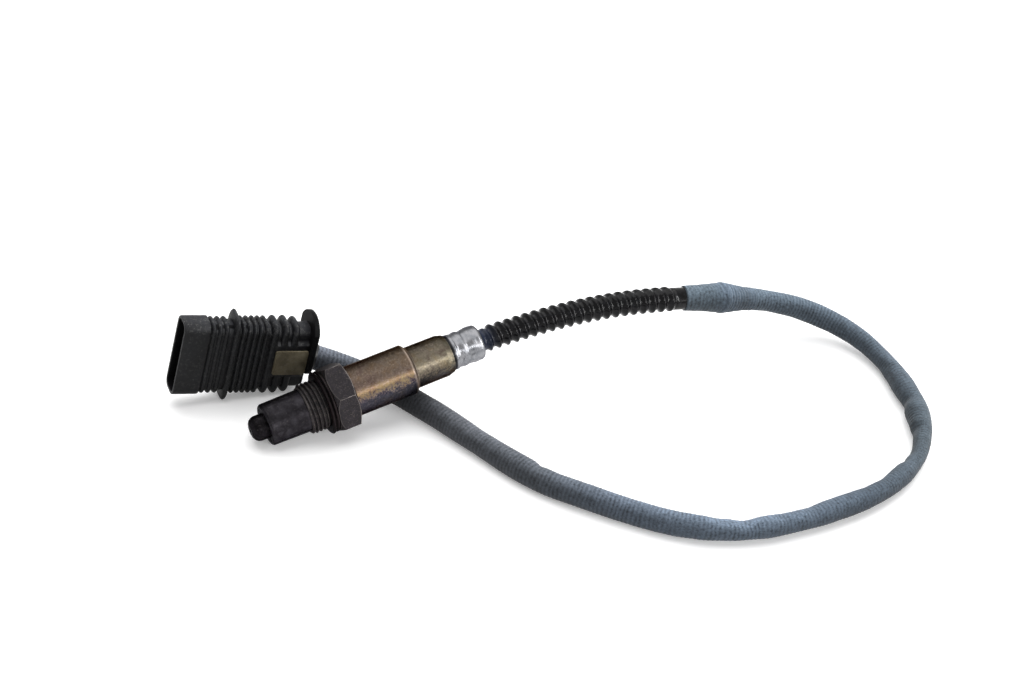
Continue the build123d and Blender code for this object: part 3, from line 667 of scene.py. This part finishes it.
# painted light and shade: faces that point down or sideways are darkened to as little as a tenth, faces that point up
# lightened
charcoalShell = mouldedPlastic(
    "glassFilledPolyamide", "#0e0e10", "#1a1b1e", grain=0.5, roughness=0.5, specular=0.14,
    depth=0.35, dust=0.2, shade=(0.1, 1.7))
charcoalFlange = mouldedPlastic(
    "glassFilledFlange", "#050506", "#0b0b0c", grain=0.5, roughness=0.6, specular=0.05, depth=0.35, dust=0.04)
charcoalInnerAndCavityShade = mouldedPlastic("polyamideInsertAndCavityShade", "#040405", "#08080a", grain=0.5, roughness=0.6, specular=0.06)
stubRubber = mouldedPlastic("mouldedStub", "#0f0f10", "#161618", grain=0.6, roughness=0.45, specular=0.4, depth=0.2)
paleInsert = mouldedPlastic("greyPolyesterLock", "#33363b", "#2b2d31", grain=0.5, roughness=0.55, specular=0.3)
sealRubber = mouldedPlastic("siliconeSeal", "#5a2a1c", "#4b2217", grain=0.8, roughness=0.55, specular=0.4)
blackRubber = mouldedPlastic("fluorRubber", "#121213", "#18181a", grain=0.8, roughness=0.6, specular=0.35)
khakiPlate = mouldedPlastic(
    "khakiPaint", "#736b57", "#4c4535", grain=0.6, roughness=0.75, specular=0.15,
    depth=0.6, dust=0.22, shade=(0.55, 1.3))
leadInsulation = mouldedPlastic(
    "fluoropolymerInsulation", "#b9b9b6", "#a8a8a4", grain=1.2, roughness=0.35, specular=0.5, depth=0.1)
darkTube = heatBlackenedSteel("heatBlackenedDrawnSteel", "#38363a", "#222023")
darkNose = heatBlackenedSteel("heatBlackenedNose", "#252326", "#151315")
darkShellPlain = heatBlackenedSteel("plainTurnedSteel", "#6a6668", "#5b5759")
darkGasket = heatBlackenedSteel("heatBlackenedFoldedStrip", "#2e2829", "#231e1f")
shellSteel = wornShellSteel("heatBlackenedMilledSteel", "#343134", "#2a282a", "#aaa19c")
sleeveSteel = temperedSleeve()
crimpSteel = brightSteel("brightCrimpedSteel", "#8a8a8d", "#6f7175")
contactMetal = brightSteel("nickelStrip", "#a9a49a", "#8f8a80")
tinned = brightSteel("tinnedBrass", "#b3aea2", "#918b7c")
whiteCeramic = firedCeramic("steatiteCeramic", "#d8d2c2", "#c6bda9")
zirconia = firedCeramic("firedZirconia", "#e2ddd0", "#cfc7b4")
talc = firedCeramic("pressedTalc", "#b3b1aa", "#8f8d86")
print("materials mixed")


# sleeved cord: a limp knitted sleeve over the leads, from the cuff to the connector
cordSettings = {
    "route": [
        (174.1, 0.0, 5.436), (188.6, -0.9, 1.536), (201.8, -6.6, -2.864), (211.0, -17.4, -5.864),
        (214.4, -31.6, -7.414), (212.6, -50.0, -7.714), (207.2, -71.5, -7.714), (191.5, -90.5, -7.714),
        (169.0, -101.8, -7.714), (139.0, -105.6, -7.714), (107.0, -103.6, -7.714), (86.5, -91.8, -7.714),
        (59.5, -62.2, -7.714), (50.0, -44.8, -7.714), (39.5, -15.8, -7.714), (32.0, 1.0, -7.214),
        (25.5, 10.5, -5.714), (16.06, 20.12, -2.84), (6.65, 25.33, -0.55),
    ],
    "diameter": 8.6,
    "step": 0.36,
    "segments": 40,
    "ribHeight": 0.045,
    # gap kept between the sleeve and the floor
    "clear": 0.02,
    # unevenness: height in millimetres, how busy it is along and around, and a shift
    "uneven": [(0.16, 0.09, 0.8, 0.0), (0.06, 0.4, 1.6, 7.0)],
    # distance along, reach of the inner side and of the outer side of the loop
    "reach": [
        (0, 4.3, 4.2), (8, 4.05, 4.0), (16, 4.5, 3.95), (24, 4.5, 4.0), (32, 4.4, 4.1), (40, 3.95, 4.15),
        (48, 3.6, 4.15), (56, 3.2, 4.0), (64, 3.0, 4.1), (72, 3.7, 4.15), (80, 4.4, 4.2), (88, 4.2, 4.0),
        (96, 5.1, 3.8), (104, 4.4, 3.7),
        (112, 3.0, 3.5), (120, 2.5, 3.45), (128, 2.8, 3.45), (136, 3.8, 3.6), (144, 3.7, 3.6), (152, 3.7, 3.6),
        (160, 4.1, 3.7), (168, 4.3, 3.75), (176, 4.2, 3.75), (184, 3.7, 3.6), (192, 3.7, 3.6), (200, 4.0, 3.7),
        (208, 3.4, 3.5), (216, 3.8, 3.6), (224, 4.3, 3.95), (232, 4.3, 4.3), (248, 4.3, 4.25), (264, 4.55, 4.25),
        (280, 4.3, 4.5), (288, 4.7, 4.45), (304, 4.5, 4.2), (320, 4.6, 4.3), (336, 4.6, 4.5), (360, 4.4, 4.4),
        (380, 4.4, 4.4),
    ],
    # dents: distance, angle in degrees from the top towards the inner side, depth, length, width in degrees
    "dents": [
        (69, 75, 0.5, 3.0, 40), (90, 85, 0.7, 2.6, 50), (108, 80, 0.7, 2.2, 50), (124, 60, 0.4, 3.0, 60),
        (131, 95, 0.6, 2.0, 45), (147, 80, 0.35, 3.5, 50), (157, 70, 0.3, 3.0, 50), (209, 35, 0.5, 3.6, 60),
        (283, 50, 0.5, 1.8, 50), (275, 20, 0.25, 4.0, 50), (60, 30, 0.25, 5.0, 50), (182, 60, 0.25, 4.0, 50),
        (310, 40, 0.2, 4.0, 60),
    ],
}


def layCord():
    c = cordSettings
    line = readLine(routeCurve("cordRoute", c["route"]))
    length = measured(line)[-1]
    print("cord line", round(length * 1000, 1), "mm")

    def radiusAt(d, angle):
        inner = between(c["reach"], d, 1)
        outer = between(c["reach"], d, 2)
        r = outer + (inner - outer) * (0.5 + 0.5 * math.sin(angle))
        for at, way, depth, long, wide in c["dents"]:
            along = (d - at) / long
            # a dent has faded out by two and a half times its length
            if abs(along) > 2.5:
                continue
            off = (math.degrees(angle) - way + 180) % 360 - 180
            r -= depth * math.exp(-along * along) * math.exp(-(off / wide) ** 2)
        for high, busyAlong, busyAround, shift in c["uneven"]:
            r += high * ripple(d, angle, busyAlong, busyAround, shift)
        return r + c["ribHeight"] * math.sin(d / sleeveSettings["rib"] * 2 * math.pi)

    cord = rollTube("sleeved_cord", line, c["step"], c["segments"], radiusAt, slateSleeve, "cord_tube",
                    lowest=lie["floor"] + c["clear"])
    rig.replaces(cord, "cord_tube")
    return cord, line, length


cord, cordLine, cordLength = layCord()
print("cord laid")


# boot: one long right-handed fold winds along a moulded tube
bootSettings = {
    "route": [(54.76, 0.0, 11.72), (61.8, 0.0, 13.22), (93.0, 0.0, 16.6), (124.5, 0.0, 15.6), (144.6, 0.0, 12.1)],
    # spacing of the folds by the crimp and by the cuff, their number, and where the first one stands
    "pitch": (3.48, 4.12), "folds": 21, "first": 5.7, "root": 3.72, "crest": 4.72,
    # above 1 the roots are wider than the crests; turn is the share of a fold by which the winding is turned
    "sharpness": 1.35, "turn": 0.27, "riseOver": 2.4,
    # the plain ends: the collar is straight this far, then narrows to waist; neck is by the cuff
    "collar": 4.72, "collarStraight": 1.6, "waist": 3.94, "neck": 4.2,
    "step": 0.2, "segments": 48,
}


def mouldBoot():
    b = bootSettings
    line = readLine(routeCurve("bootRoute", b["route"]))
    whole = measured(line)[-1] * 1000
    near, far = b["pitch"]
    spread = (far - near) / (b["folds"] - 1)

    # folds are closer together by the crimp than by the cuff
    def stationOf(fold):
        return b["first"] + near * fold + 0.5 * spread * fold * fold

    def foldAt(d):
        return (math.sqrt(max(near * near + 2 * spread * (d - b["first"]), 0.01)) - near) / spread

    # the folds rise and die away half a fold outside the first and the last
    start = stationOf(-0.5)
    end = stationOf(b["folds"] - 0.5)

    def radiusAt(d, angle):
        phase = foldAt(d) - angle / (2 * math.pi) + b["turn"]
        fold = (0.5 + 0.5 * math.cos(2 * math.pi * phase)) ** b["sharpness"]
        rise = eased(clamped((d - start) / b["riseOver"]) * clamped((end - d) / b["riseOver"]))
        plain = b["neck"] if d > whole / 2 else b["waist"]
        if d < start:
            narrowed = clamped((d - b["collarStraight"]) / (start - b["collarStraight"]))
            plain = b["collar"] + (plain - b["collar"]) * narrowed
        return plain + (b["root"] + (b["crest"] - b["root"]) * fold - plain) * rise

    boot = rollTube("folded_boot", line, b["step"], b["segments"], radiusAt, blackBoot, "corrugated_boot")
    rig.replaces(boot, "corrugated_boot")
    return boot


boot = mouldBoot()
print("boot moulded")


# cuff: shrunk and taped over the boot's end and the cord's end, with a soft ridge where it is widest
cuffSettings = {
    "route": [(142.9, 0.0, 12.4), (154.4, 0.0, 10.35), (164.4, 0.0, 8.0), (174.3, 0.0, 5.4)],
    "shape": [
        (0, 4.3), (0.25, 4.72), (5.7, 4.92), (10.7, 5.2), (15.2, 5.55), (17.3, 5.92), (18.3, 5.7), (20.7, 5.4),
        (24.7, 4.85), (28.7, 4.4), (32.2, 4.3),
    ],
    "ribFrom": 18.1, "ribHeight": 0.1, "uneven": (0.07, 0.2, 1.2),
    # how far the cut edge slants, the way round in radians, and the distance over which the slant fades
    "slant": 1.3, "slantWay": 0.9, "slantFades": 6.0,
    "step": 0.22, "segments": 48,
}


def wrapCuff():
    c = cuffSettings
    line = readLine(routeCurve("cuffRoute", c["route"]))

    def radiusAt(d, angle):
        r = between(c["shape"], d)
        if d > c["ribFrom"]:
            r += c["ribHeight"] * math.sin((d - c["ribFrom"]) / sleeveSettings["rib"] * 2 * math.pi)
        high, busyAlong, busyAround = c["uneven"]
        return r + high * ripple(d, angle, busyAlong, busyAround)

    # the tape's cut edge runs a little aslant round the boot
    def slantAt(d, angle):
        fade = max(0.0, 1.0 - d / c["slantFades"])
        return -c["slant"] * fade * math.cos(angle - c["slantWay"])

    cuff = rollTube("tape_cuff", line, c["step"], c["segments"], radiusAt, slateCuff, "cord_cuff", slantAt=slantAt)
    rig.replaces(cuff, "cord_cuff")
    return cuff


cuff = wrapCuff()
print("cuff wrapped")


# crimp sleeve: drawn cap, then two closed crimps on the boot with a rolled bead between them
crimpSettings = {
    # station, radius, depth of the pressed flats
    "shape": [
        (42.0, 6.42, 0.0), (46.0, 6.45, 0.0), (47.3, 6.46, 0.0), (48.1, 6.44, 0.0), (48.5, 6.32, 0.02),
        (49.0, 6.22, 0.04), (49.5, 6.24, 0.04), (50.1, 6.38, 0.02), (50.8, 6.42, 0.0), (51.5, 6.36, 0.04),
        (52.1, 6.22, 0.1), (52.7, 6.2, 0.14), (53.4, 6.3, 0.1), (54.3, 6.42, 0.04), (55.2, 6.48, 0.0),
        (56.4, 6.48, 0.0), (57.4, 6.44, 0.0), (58.0, 6.3, 0.0), (58.4, 6.05, 0.0), (58.65, 5.7, 0.0),
        (58.8, 5.3, 0.0), (58.8, 5.0, 0.0), (58.3, 4.8, 0.0),
    ],
    "between": 3, "segments": 72,
    # number of pressed flats, and how far round the first one is, in radians
    "flats": 6, "flatsTurn": 0.7,
    # the pressed part is uneven: height, how busy it is around and along, its stations, and how soon it fades out
    "uneven": 0.16, "busyAround": 1.4, "busyAlong": 0.45, "unevenFrom": 47.9, "unevenTo": 58.4, "unevenFades": 2.0,
    "widest": 6.5,
}


def closeCrimp():
    c = crimpSettings
    rows = []
    for (s0, r0, f0), (s1, r1, f1) in zip(c["shape"], c["shape"][1:]):
        for k in range(c["between"]):
            t = k / c["between"]
            rows.append((s0 + (s1 - s0) * t, r0 + (r1 - r0) * t, f0 + (f1 - f0) * t))
    rows.append(c["shape"][-1])

    def placeAt(row, angle):
        s, r, flat = rows[row]
        r -= flat * (0.5 + 0.5 * math.cos(c["flats"] * angle + c["flatsTurn"]))
        if s > c["unevenFrom"]:
            around = (math.cos(angle) * c["busyAround"], math.sin(angle) * c["busyAround"])
            dented = noise.noise(Vector((*around, s * c["busyAlong"])))
            r += c["uneven"] * dented * clamped((c["unevenTo"] - s) / c["unevenFades"])
        return onProbe(s, angle, min(r, c["widest"]))

    mesh = rollStrip(len(rows), c["segments"], placeAt)
    crimp = finishPiece("crimp_cap", mesh, crimpSteel, "crimp_sleeve", crease=50)
    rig.replaces(crimp, "crimp_sleeve")


closeCrimp()
print("crimp closed")


# threaded shell: the plain thread band is cut out of a welded copy and a wound thread is let in
threadSettings = {
    "pitch": 1.5, "crest": 9.0, "root": 8.08, "front": -9.15, "back": -2.85, "rim": 8.25,
    "chamferFront": -8.35, "chamferBack": -3.35, "rows": 84, "segments": 96,
    # shares of the pitch that are flat root and flanks, then the share of the chamfer over which the thread runs out
    "flatRoot": 0.14, "flank": 0.7, "runOut": 0.25,
    # the plain band's faces lie between these stations and outside this radius
    "bandFrom": -9.17, "bandTo": -2.83, "bandInside": 8.1,
    # each rim of the cut lies between two of these stations
    "seams": ((-9.3, -9.0), (-3.0, -2.7)),
}


def cutThread():
    t = threadSettings
    shell = bmesh.new()
    shell.from_mesh(nodes["sensor_shell"].data)
    bmesh.ops.transform(shell, matrix=nodes["sensor_shell"].matrix_world, verts=shell.verts)
    bmesh.ops.remove_doubles(shell, verts=shell.verts, dist=2e-6)

    def stationOf(point):
        return point.dot(probeLine) * 1000

    def reachOf(point):
        return (point - probeLine * point.dot(probeLine)).length * 1000

    old = []
    for face in shell.faces:
        inBand = t["bandFrom"] < stationOf(face.calc_center_median()) < t["bandTo"]
        if inBand and min(reachOf(v.co) for v in face.verts) > t["bandInside"]:
            old.append(face)
    bmesh.ops.delete(shell, geom=old, context="FACES")

    def placeAt(row, angle):
        s = t["front"] + (t["back"] - t["front"]) * row / (t["rows"] - 1)
        phase = (s / t["pitch"] - angle / (2 * math.pi)) % 1.0
        rise = clamped((1 - abs(2 * phase - 1) - t["flatRoot"]) / t["flank"])
        r = t["root"] + (t["crest"] - t["root"]) * rise
        ahead = (s - t["front"]) / (t["chamferFront"] - t["front"])
        behind = (t["back"] - s) / (t["back"] - t["chamferBack"])
        near = min(ahead, behind)
        limit = t["rim"] + (t["crest"] - t["rim"]) * min(near, 1.0)
        r = min(r, limit) if near > 0 else t["rim"]
        if 0 < near < t["runOut"]:
            r = t["rim"] + (r - t["rim"]) * near / t["runOut"]
        return onProbe(s, angle, r)

    wound = rollStrip(t["rows"], t["segments"], placeAt, close=False)
    part = bpy.data.meshes.new("thread")
    wound.to_mesh(part)
    wound.free()
    shell.from_mesh(part)
    bpy.data.meshes.remove(part)
    for low, high in t["seams"]:
        rims = [e for e in shell.edges if e.is_boundary and all(low < stationOf(v.co) < high for v in e.verts)]
        bmesh.ops.bridge_loops(shell, edges=rims)
    gaps = [e for e in shell.edges if e.is_boundary]
    if gaps:
        bmesh.ops.holes_fill(shell, edges=gaps, sides=0)
    piece = finishPiece("threaded_shell", shell, shellSteel, "sensor_shell", crease=30)
    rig.replaces(piece, "sensor_shell")


cutThread()
print("thread cut")


# connector housing: one moulding, rolled from its cavity over the lip and along the ribs to the rear cap.
# Each section is station, width, thickness, corner.
housingSettings = {
    "cavity": (27.5, 7.0, 2.0), "cavityAt": (13.1, 9.0, 5.0, 2.0, 0.5),
    "lip": [(0.15, 27.65, 7.15, 2.1), (0.0, 27.95, 7.45, 2.25), (0.0, 29.35, 8.85, 2.95), (0.12, 29.72, 9.22, 3.1)],
    "outside": (29.9, 9.4, 3.2), "outsideAt": (0.45, 3.0, 6.0, 8.9),
    "step": [(9.15, 29.75, 9.25, 3.15), (9.35, 29.2, 8.9, 3.1)],
    "core": (27.7, 8.0, 3.2), "coreTo": 31.1,
    "neck": (25.6, 7.6, 3.2), "neckFrom": 31.35, "rearAt": (43.5, 45.0, 46.28),
    # ribs and collar: stations, crest, width, and how full the crest is (less is fuller)
    "frontRibs": [10.7, 13.05, 15.4], "frontCrest": (29.2, 9.4, 3.2), "frontWide": 1.75,
    "collar": 18.9, "collarCrest": (35.2, 11.0, 4.2), "collarWide": 2.1, "collarTop": 16.95, "collarFull": 0.4,
    "rearRibs": [21.4, 23.5, 25.6, 27.7, 29.8], "rearCrest": (29.6, 10.1, 3.6), "rearWide": 1.65,
    "coarseRibs": [33.2, 36.98, 40.76], "coarseCrest": [(29.9, 10.2, 3.6), (29.9, 10.2, 3.6), (28.9, 10.2, 3.6)],
    "coarseWide": 2.7, "coarseFull": 0.5,
    # raised pad: its ends and sides, how far out it stands, the widths of its sloping rims,
    # and the reach from which a point counts as on the near face
    "pad": {"from": 32.4, "to": 46.3, "low": -7.0, "high": 7.6, "reach": 5.02, "side": 0.7, "end": 0.5, "near": 2.5},
    # steps on an outline's long sides, its short sides and its corners
    "outline": (26, 6, 8),
}


# sections that swell from the base to the crest and back
def ribRows(at, wide, base, crest, fullness=0.75):
    rows = []
    for u in (-1.0, -0.9, -0.72, -0.45, -0.15, 0.15, 0.45, 0.72, 0.9, 1.0):
        rise = max(0.0, math.cos(u * math.pi / 2)) ** fullness
        rows.append((at + u * wide / 2, *[b + (c - b) * rise for b, c in zip(base, crest)]))
    return rows


# points round a rounded outline: where the corner's centre is, from -1 to 1 both ways, and the angle there
def roundedTable(longSteps, shortSteps, cornerSteps):
    table = []
    for way, (fromX, fromY, toX, toY, start) in enumerate((
        (1, -1, 1, 1, 0), (1, 1, -1, 1, 90), (-1, 1, -1, -1, 180), (-1, -1, 1, -1, 270),
    )):
        steps = shortSteps if way % 2 == 0 else longSteps
        for k in range(steps):
            f = k / steps
            table.append((fromX + (toX - fromX) * f, fromY + (toY - fromY) * f, start))
        for k in range(cornerSteps):
            table.append((toX, toY, start + 90 * k / cornerSteps))
    return table


def mouldHousing():
    h = housingSettings
    rows = [(s, *h["cavity"]) for s in h["cavityAt"]]
    rows += h["lip"]
    rows += [(s, *h["outside"]) for s in h["outsideAt"]]
    rows += h["step"]
    for at in h["frontRibs"]:
        rows += ribRows(at, h["frontWide"], h["core"], h["frontCrest"])
    rows += ribRows(h["collar"], h["collarWide"], h["core"], h["collarCrest"], h["collarFull"])
    for at in h["rearRibs"]:
        rows += ribRows(at, h["rearWide"], h["core"], h["rearCrest"])
    rows += [(h["coreTo"], *h["core"]), (h["neckFrom"], *h["neck"])]
    for at, crest in zip(h["coarseRibs"], h["coarseCrest"]):
        rows += ribRows(at, h["coarseWide"], h["neck"], crest, h["coarseFull"])
    rows += [(s, *h["neck"]) for s in h["rearAt"]]
    table = roundedTable(*h["outline"])
    pad = h["pad"]

    def placeAt(row, angle):
        s, width, thick, corner = rows[row]
        k = round(angle / (2 * math.pi) * len(table)) % len(table)
        acrossX, acrossY, degrees = table[k]
        phi = math.radians(degrees)
        x = acrossX * (width / 2 - corner) + corner * math.cos(phi)
        y = acrossY * (thick / 2 - corner) + corner * math.sin(phi)
        # the collar stands out less above than below
        x = min(x, h["collarTop"])
        if pad["from"] < s < pad["to"] and y > pad["near"]:
            sides = min(x - pad["low"], pad["high"] - x) / pad["side"]
            edge = min(sides, (s - pad["from"]) / pad["end"])
            y = max(y, y + (pad["reach"] - y) * eased(edge))
        return mm(*lie["mouth"]) + (connLine * s + connUp * x + connNear * y) * 0.001

    mesh = rollStrip(len(rows), len(table), placeAt)
    # painted shade: the cavity is given the insert's darker finish as far as the lip
    uv = mesh.loops.layers.uv["along"]
    lip = (len(h["cavityAt"]) + 0.5) / (len(rows) - 1)
    for face in mesh.faces:
        if all(loop[uv].uv.x < lip for loop in face.loops):
            face.material_index = 1
    housing = finishPiece("ribbed_housing", mesh, charcoalShell, "connector_housing", crease=35)
    housing.data.materials.append(charcoalInnerAndCavityShade)
    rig.replaces(housing, "connector_housing")
    return housing


housing = mouldHousing()
print("housing moulded")

carriedMaterials = {
    "outer_tube": darkTube, "inner_tube": darkNose, "gasket": darkGasket, "protective_sleeve": sleeveSteel,
    "lock_ring": darkShellPlain, "sensing_element": zirconia, "lower_bush": whiteCeramic, "powder_seal": talc,
    "upper_bush": whiteCeramic, "contact_holder": whiteCeramic, "spring_cage": contactMetal, "contacts": contactMetal,
    "rear_spacer": whiteCeramic, "grommet": blackRubber, "lead_wires": leadInsulation, "terminal_block": charcoalInnerAndCavityShade,
    "terminals": tinned, "lock_frame": paleInsert, "wire_seal": sealRubber, "rear_flange": charcoalFlange,
    "cord_stub": stubRubber, "connector_leads": leadInsulation, "blank_plate": khakiPlate,
}
for name, material in carriedMaterials.items():
    nodes[name].data.materials.clear()
    nodes[name].data.materials.append(material)
print("carried pieces coloured")


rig.cord(cord, exit=cordLine[0], length=cordLength, diameter=cordSettings["diameter"] * 0.001, far_end="connector",
        stiffness="limp", lay="loose", path=cordLine,
        with_pieces=[cuff, boot, housing] + [nodes[n] for n in (
            "cord_stub", "rear_flange", "terminal_block", "terminals", "lock_frame", "wire_seal", "blank_plate",
            "connector_leads",
        )])


# studio: pale floor and four soft panels; the background and reflections see plain white
studioSettings = {
    "floor": "#f4f4f4",
    "floorSize": 6.0,
    # glow that lifts the floor to white where it is seen, and the distances over which it rises to full, in metres
    "floorLift": 0.22,
    "farFloor": (0.7, 1.8),
    "ambient": 0.4,
    "panels": [
        # place, aim, width and height in metres, watts, and whether it lights the surface and shows as shine
        ((60.0, 250.0, 900.0), (60.0, 0.0, 0.0), 1.2, 1.2, 10.0, True, True),
        ((160.0, -715.0, 335.0), (30.0, 0.0, 0.0), 0.75, 0.1, 2.6, True, True),
        ((760.0, 330.0, 560.0), (80.0, 0.0, 0.0), 0.7, 0.7, 7.0, True, False),
        ((480.0, -560.0, 420.0), (90.0, 0.0, 0.0), 0.06, 0.9, 7.0, False, True),
    ],
}


# one for a ray from the camera, a reflection or clear material, and nought for any other
def seenDirectly(tree):
    seen = addNode(tree, "ShaderNodeLightPath").outputs
    direct = reckon(tree, "MAXIMUM", seen["Is Camera Ray"], seen["Is Glossy Ray"])
    return reckon(tree, "MAXIMUM", direct, seen["Is Transmission Ray"])


def setStudio():
    s = studioSettings
    floorMaterial, tree, surface = startMaterial("studioFloor", {
        "Base Color": toLinear(s["floor"]), "Roughness": 0.9, "Specular IOR Level": 0.0, "Emission Color": (1, 1, 1, 1),
    })
    # far from the object the panels' light fades, so the floor is lifted more there
    distance = addNode(tree, "ShaderNodeVectorMath", {"operation": "LENGTH"}, {0: objectPlace(tree)}).outputs["Value"]
    lift = spanned(tree, distance, *s["farFloor"], s["floorLift"], 1.0, "SMOOTHSTEP")
    tree.links.new(reckon(tree, "MULTIPLY", lift, seenDirectly(tree)), surface.inputs["Emission Strength"])
    floor = bmesh.new()
    bmesh.ops.create_grid(floor, x_segments=1, y_segments=1, size=s["floorSize"])
    bmesh.ops.translate(floor, vec=(0, 0, lie["floor"] * 0.001), verts=floor.verts)
    data = bpy.data.meshes.new("studio_floor")
    floor.to_mesh(data)
    floor.free()
    data.materials.append(floorMaterial)
    ground = bpy.data.objects.new("studio_floor", data)
    bpy.context.collection.objects.link(ground)
    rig.stage(ground)
    for k, (place, aim, width, high, watts, lights, shines) in enumerate(s["panels"]):
        lampData = bpy.data.lights.new("soft_panel_%d" % k, "AREA")
        lampData.shape = "RECTANGLE"
        lampData.size = width
        lampData.size_y = high
        lampData.energy = watts
        lamp = bpy.data.objects.new("soft_panel_%d" % k, lampData)
        bpy.context.collection.objects.link(lamp)
        lamp.visible_diffuse = lights
        lamp.visible_glossy = shines
        away = (mm(*place) - mm(*aim)).normalized()
        lamp.matrix_world = Matrix.Translation(mm(*place)) @ away.to_track_quat("Z", "Y").to_matrix().to_4x4()
    world = bpy.data.worlds.new("studio_air")
    world.use_nodes = True
    tree = world.node_tree
    tree.nodes.clear()
    soft, white = [
        addNode(tree, "ShaderNodeBackground", inputs={"Color": (1, 1, 1, 1), "Strength": strength}).outputs[0]
        for strength in (s["ambient"], 1.0)
    ]
    mixed = addNode(tree, "ShaderNodeMixShader", inputs={0: seenDirectly(tree), 1: soft, 2: white})
    addNode(tree, "ShaderNodeOutputWorld", inputs={"Surface": mixed.outputs[0]})
    bpy.context.scene.world = world
    bpy.context.scene.view_settings.view_transform = "Standard"


setStudio()
print("studio set")

with open("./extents.json", "w") as out:
    json.dump({"cad": [list(v) for v in cadBox], "visual": [list(v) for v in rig.bounds()]}, out)
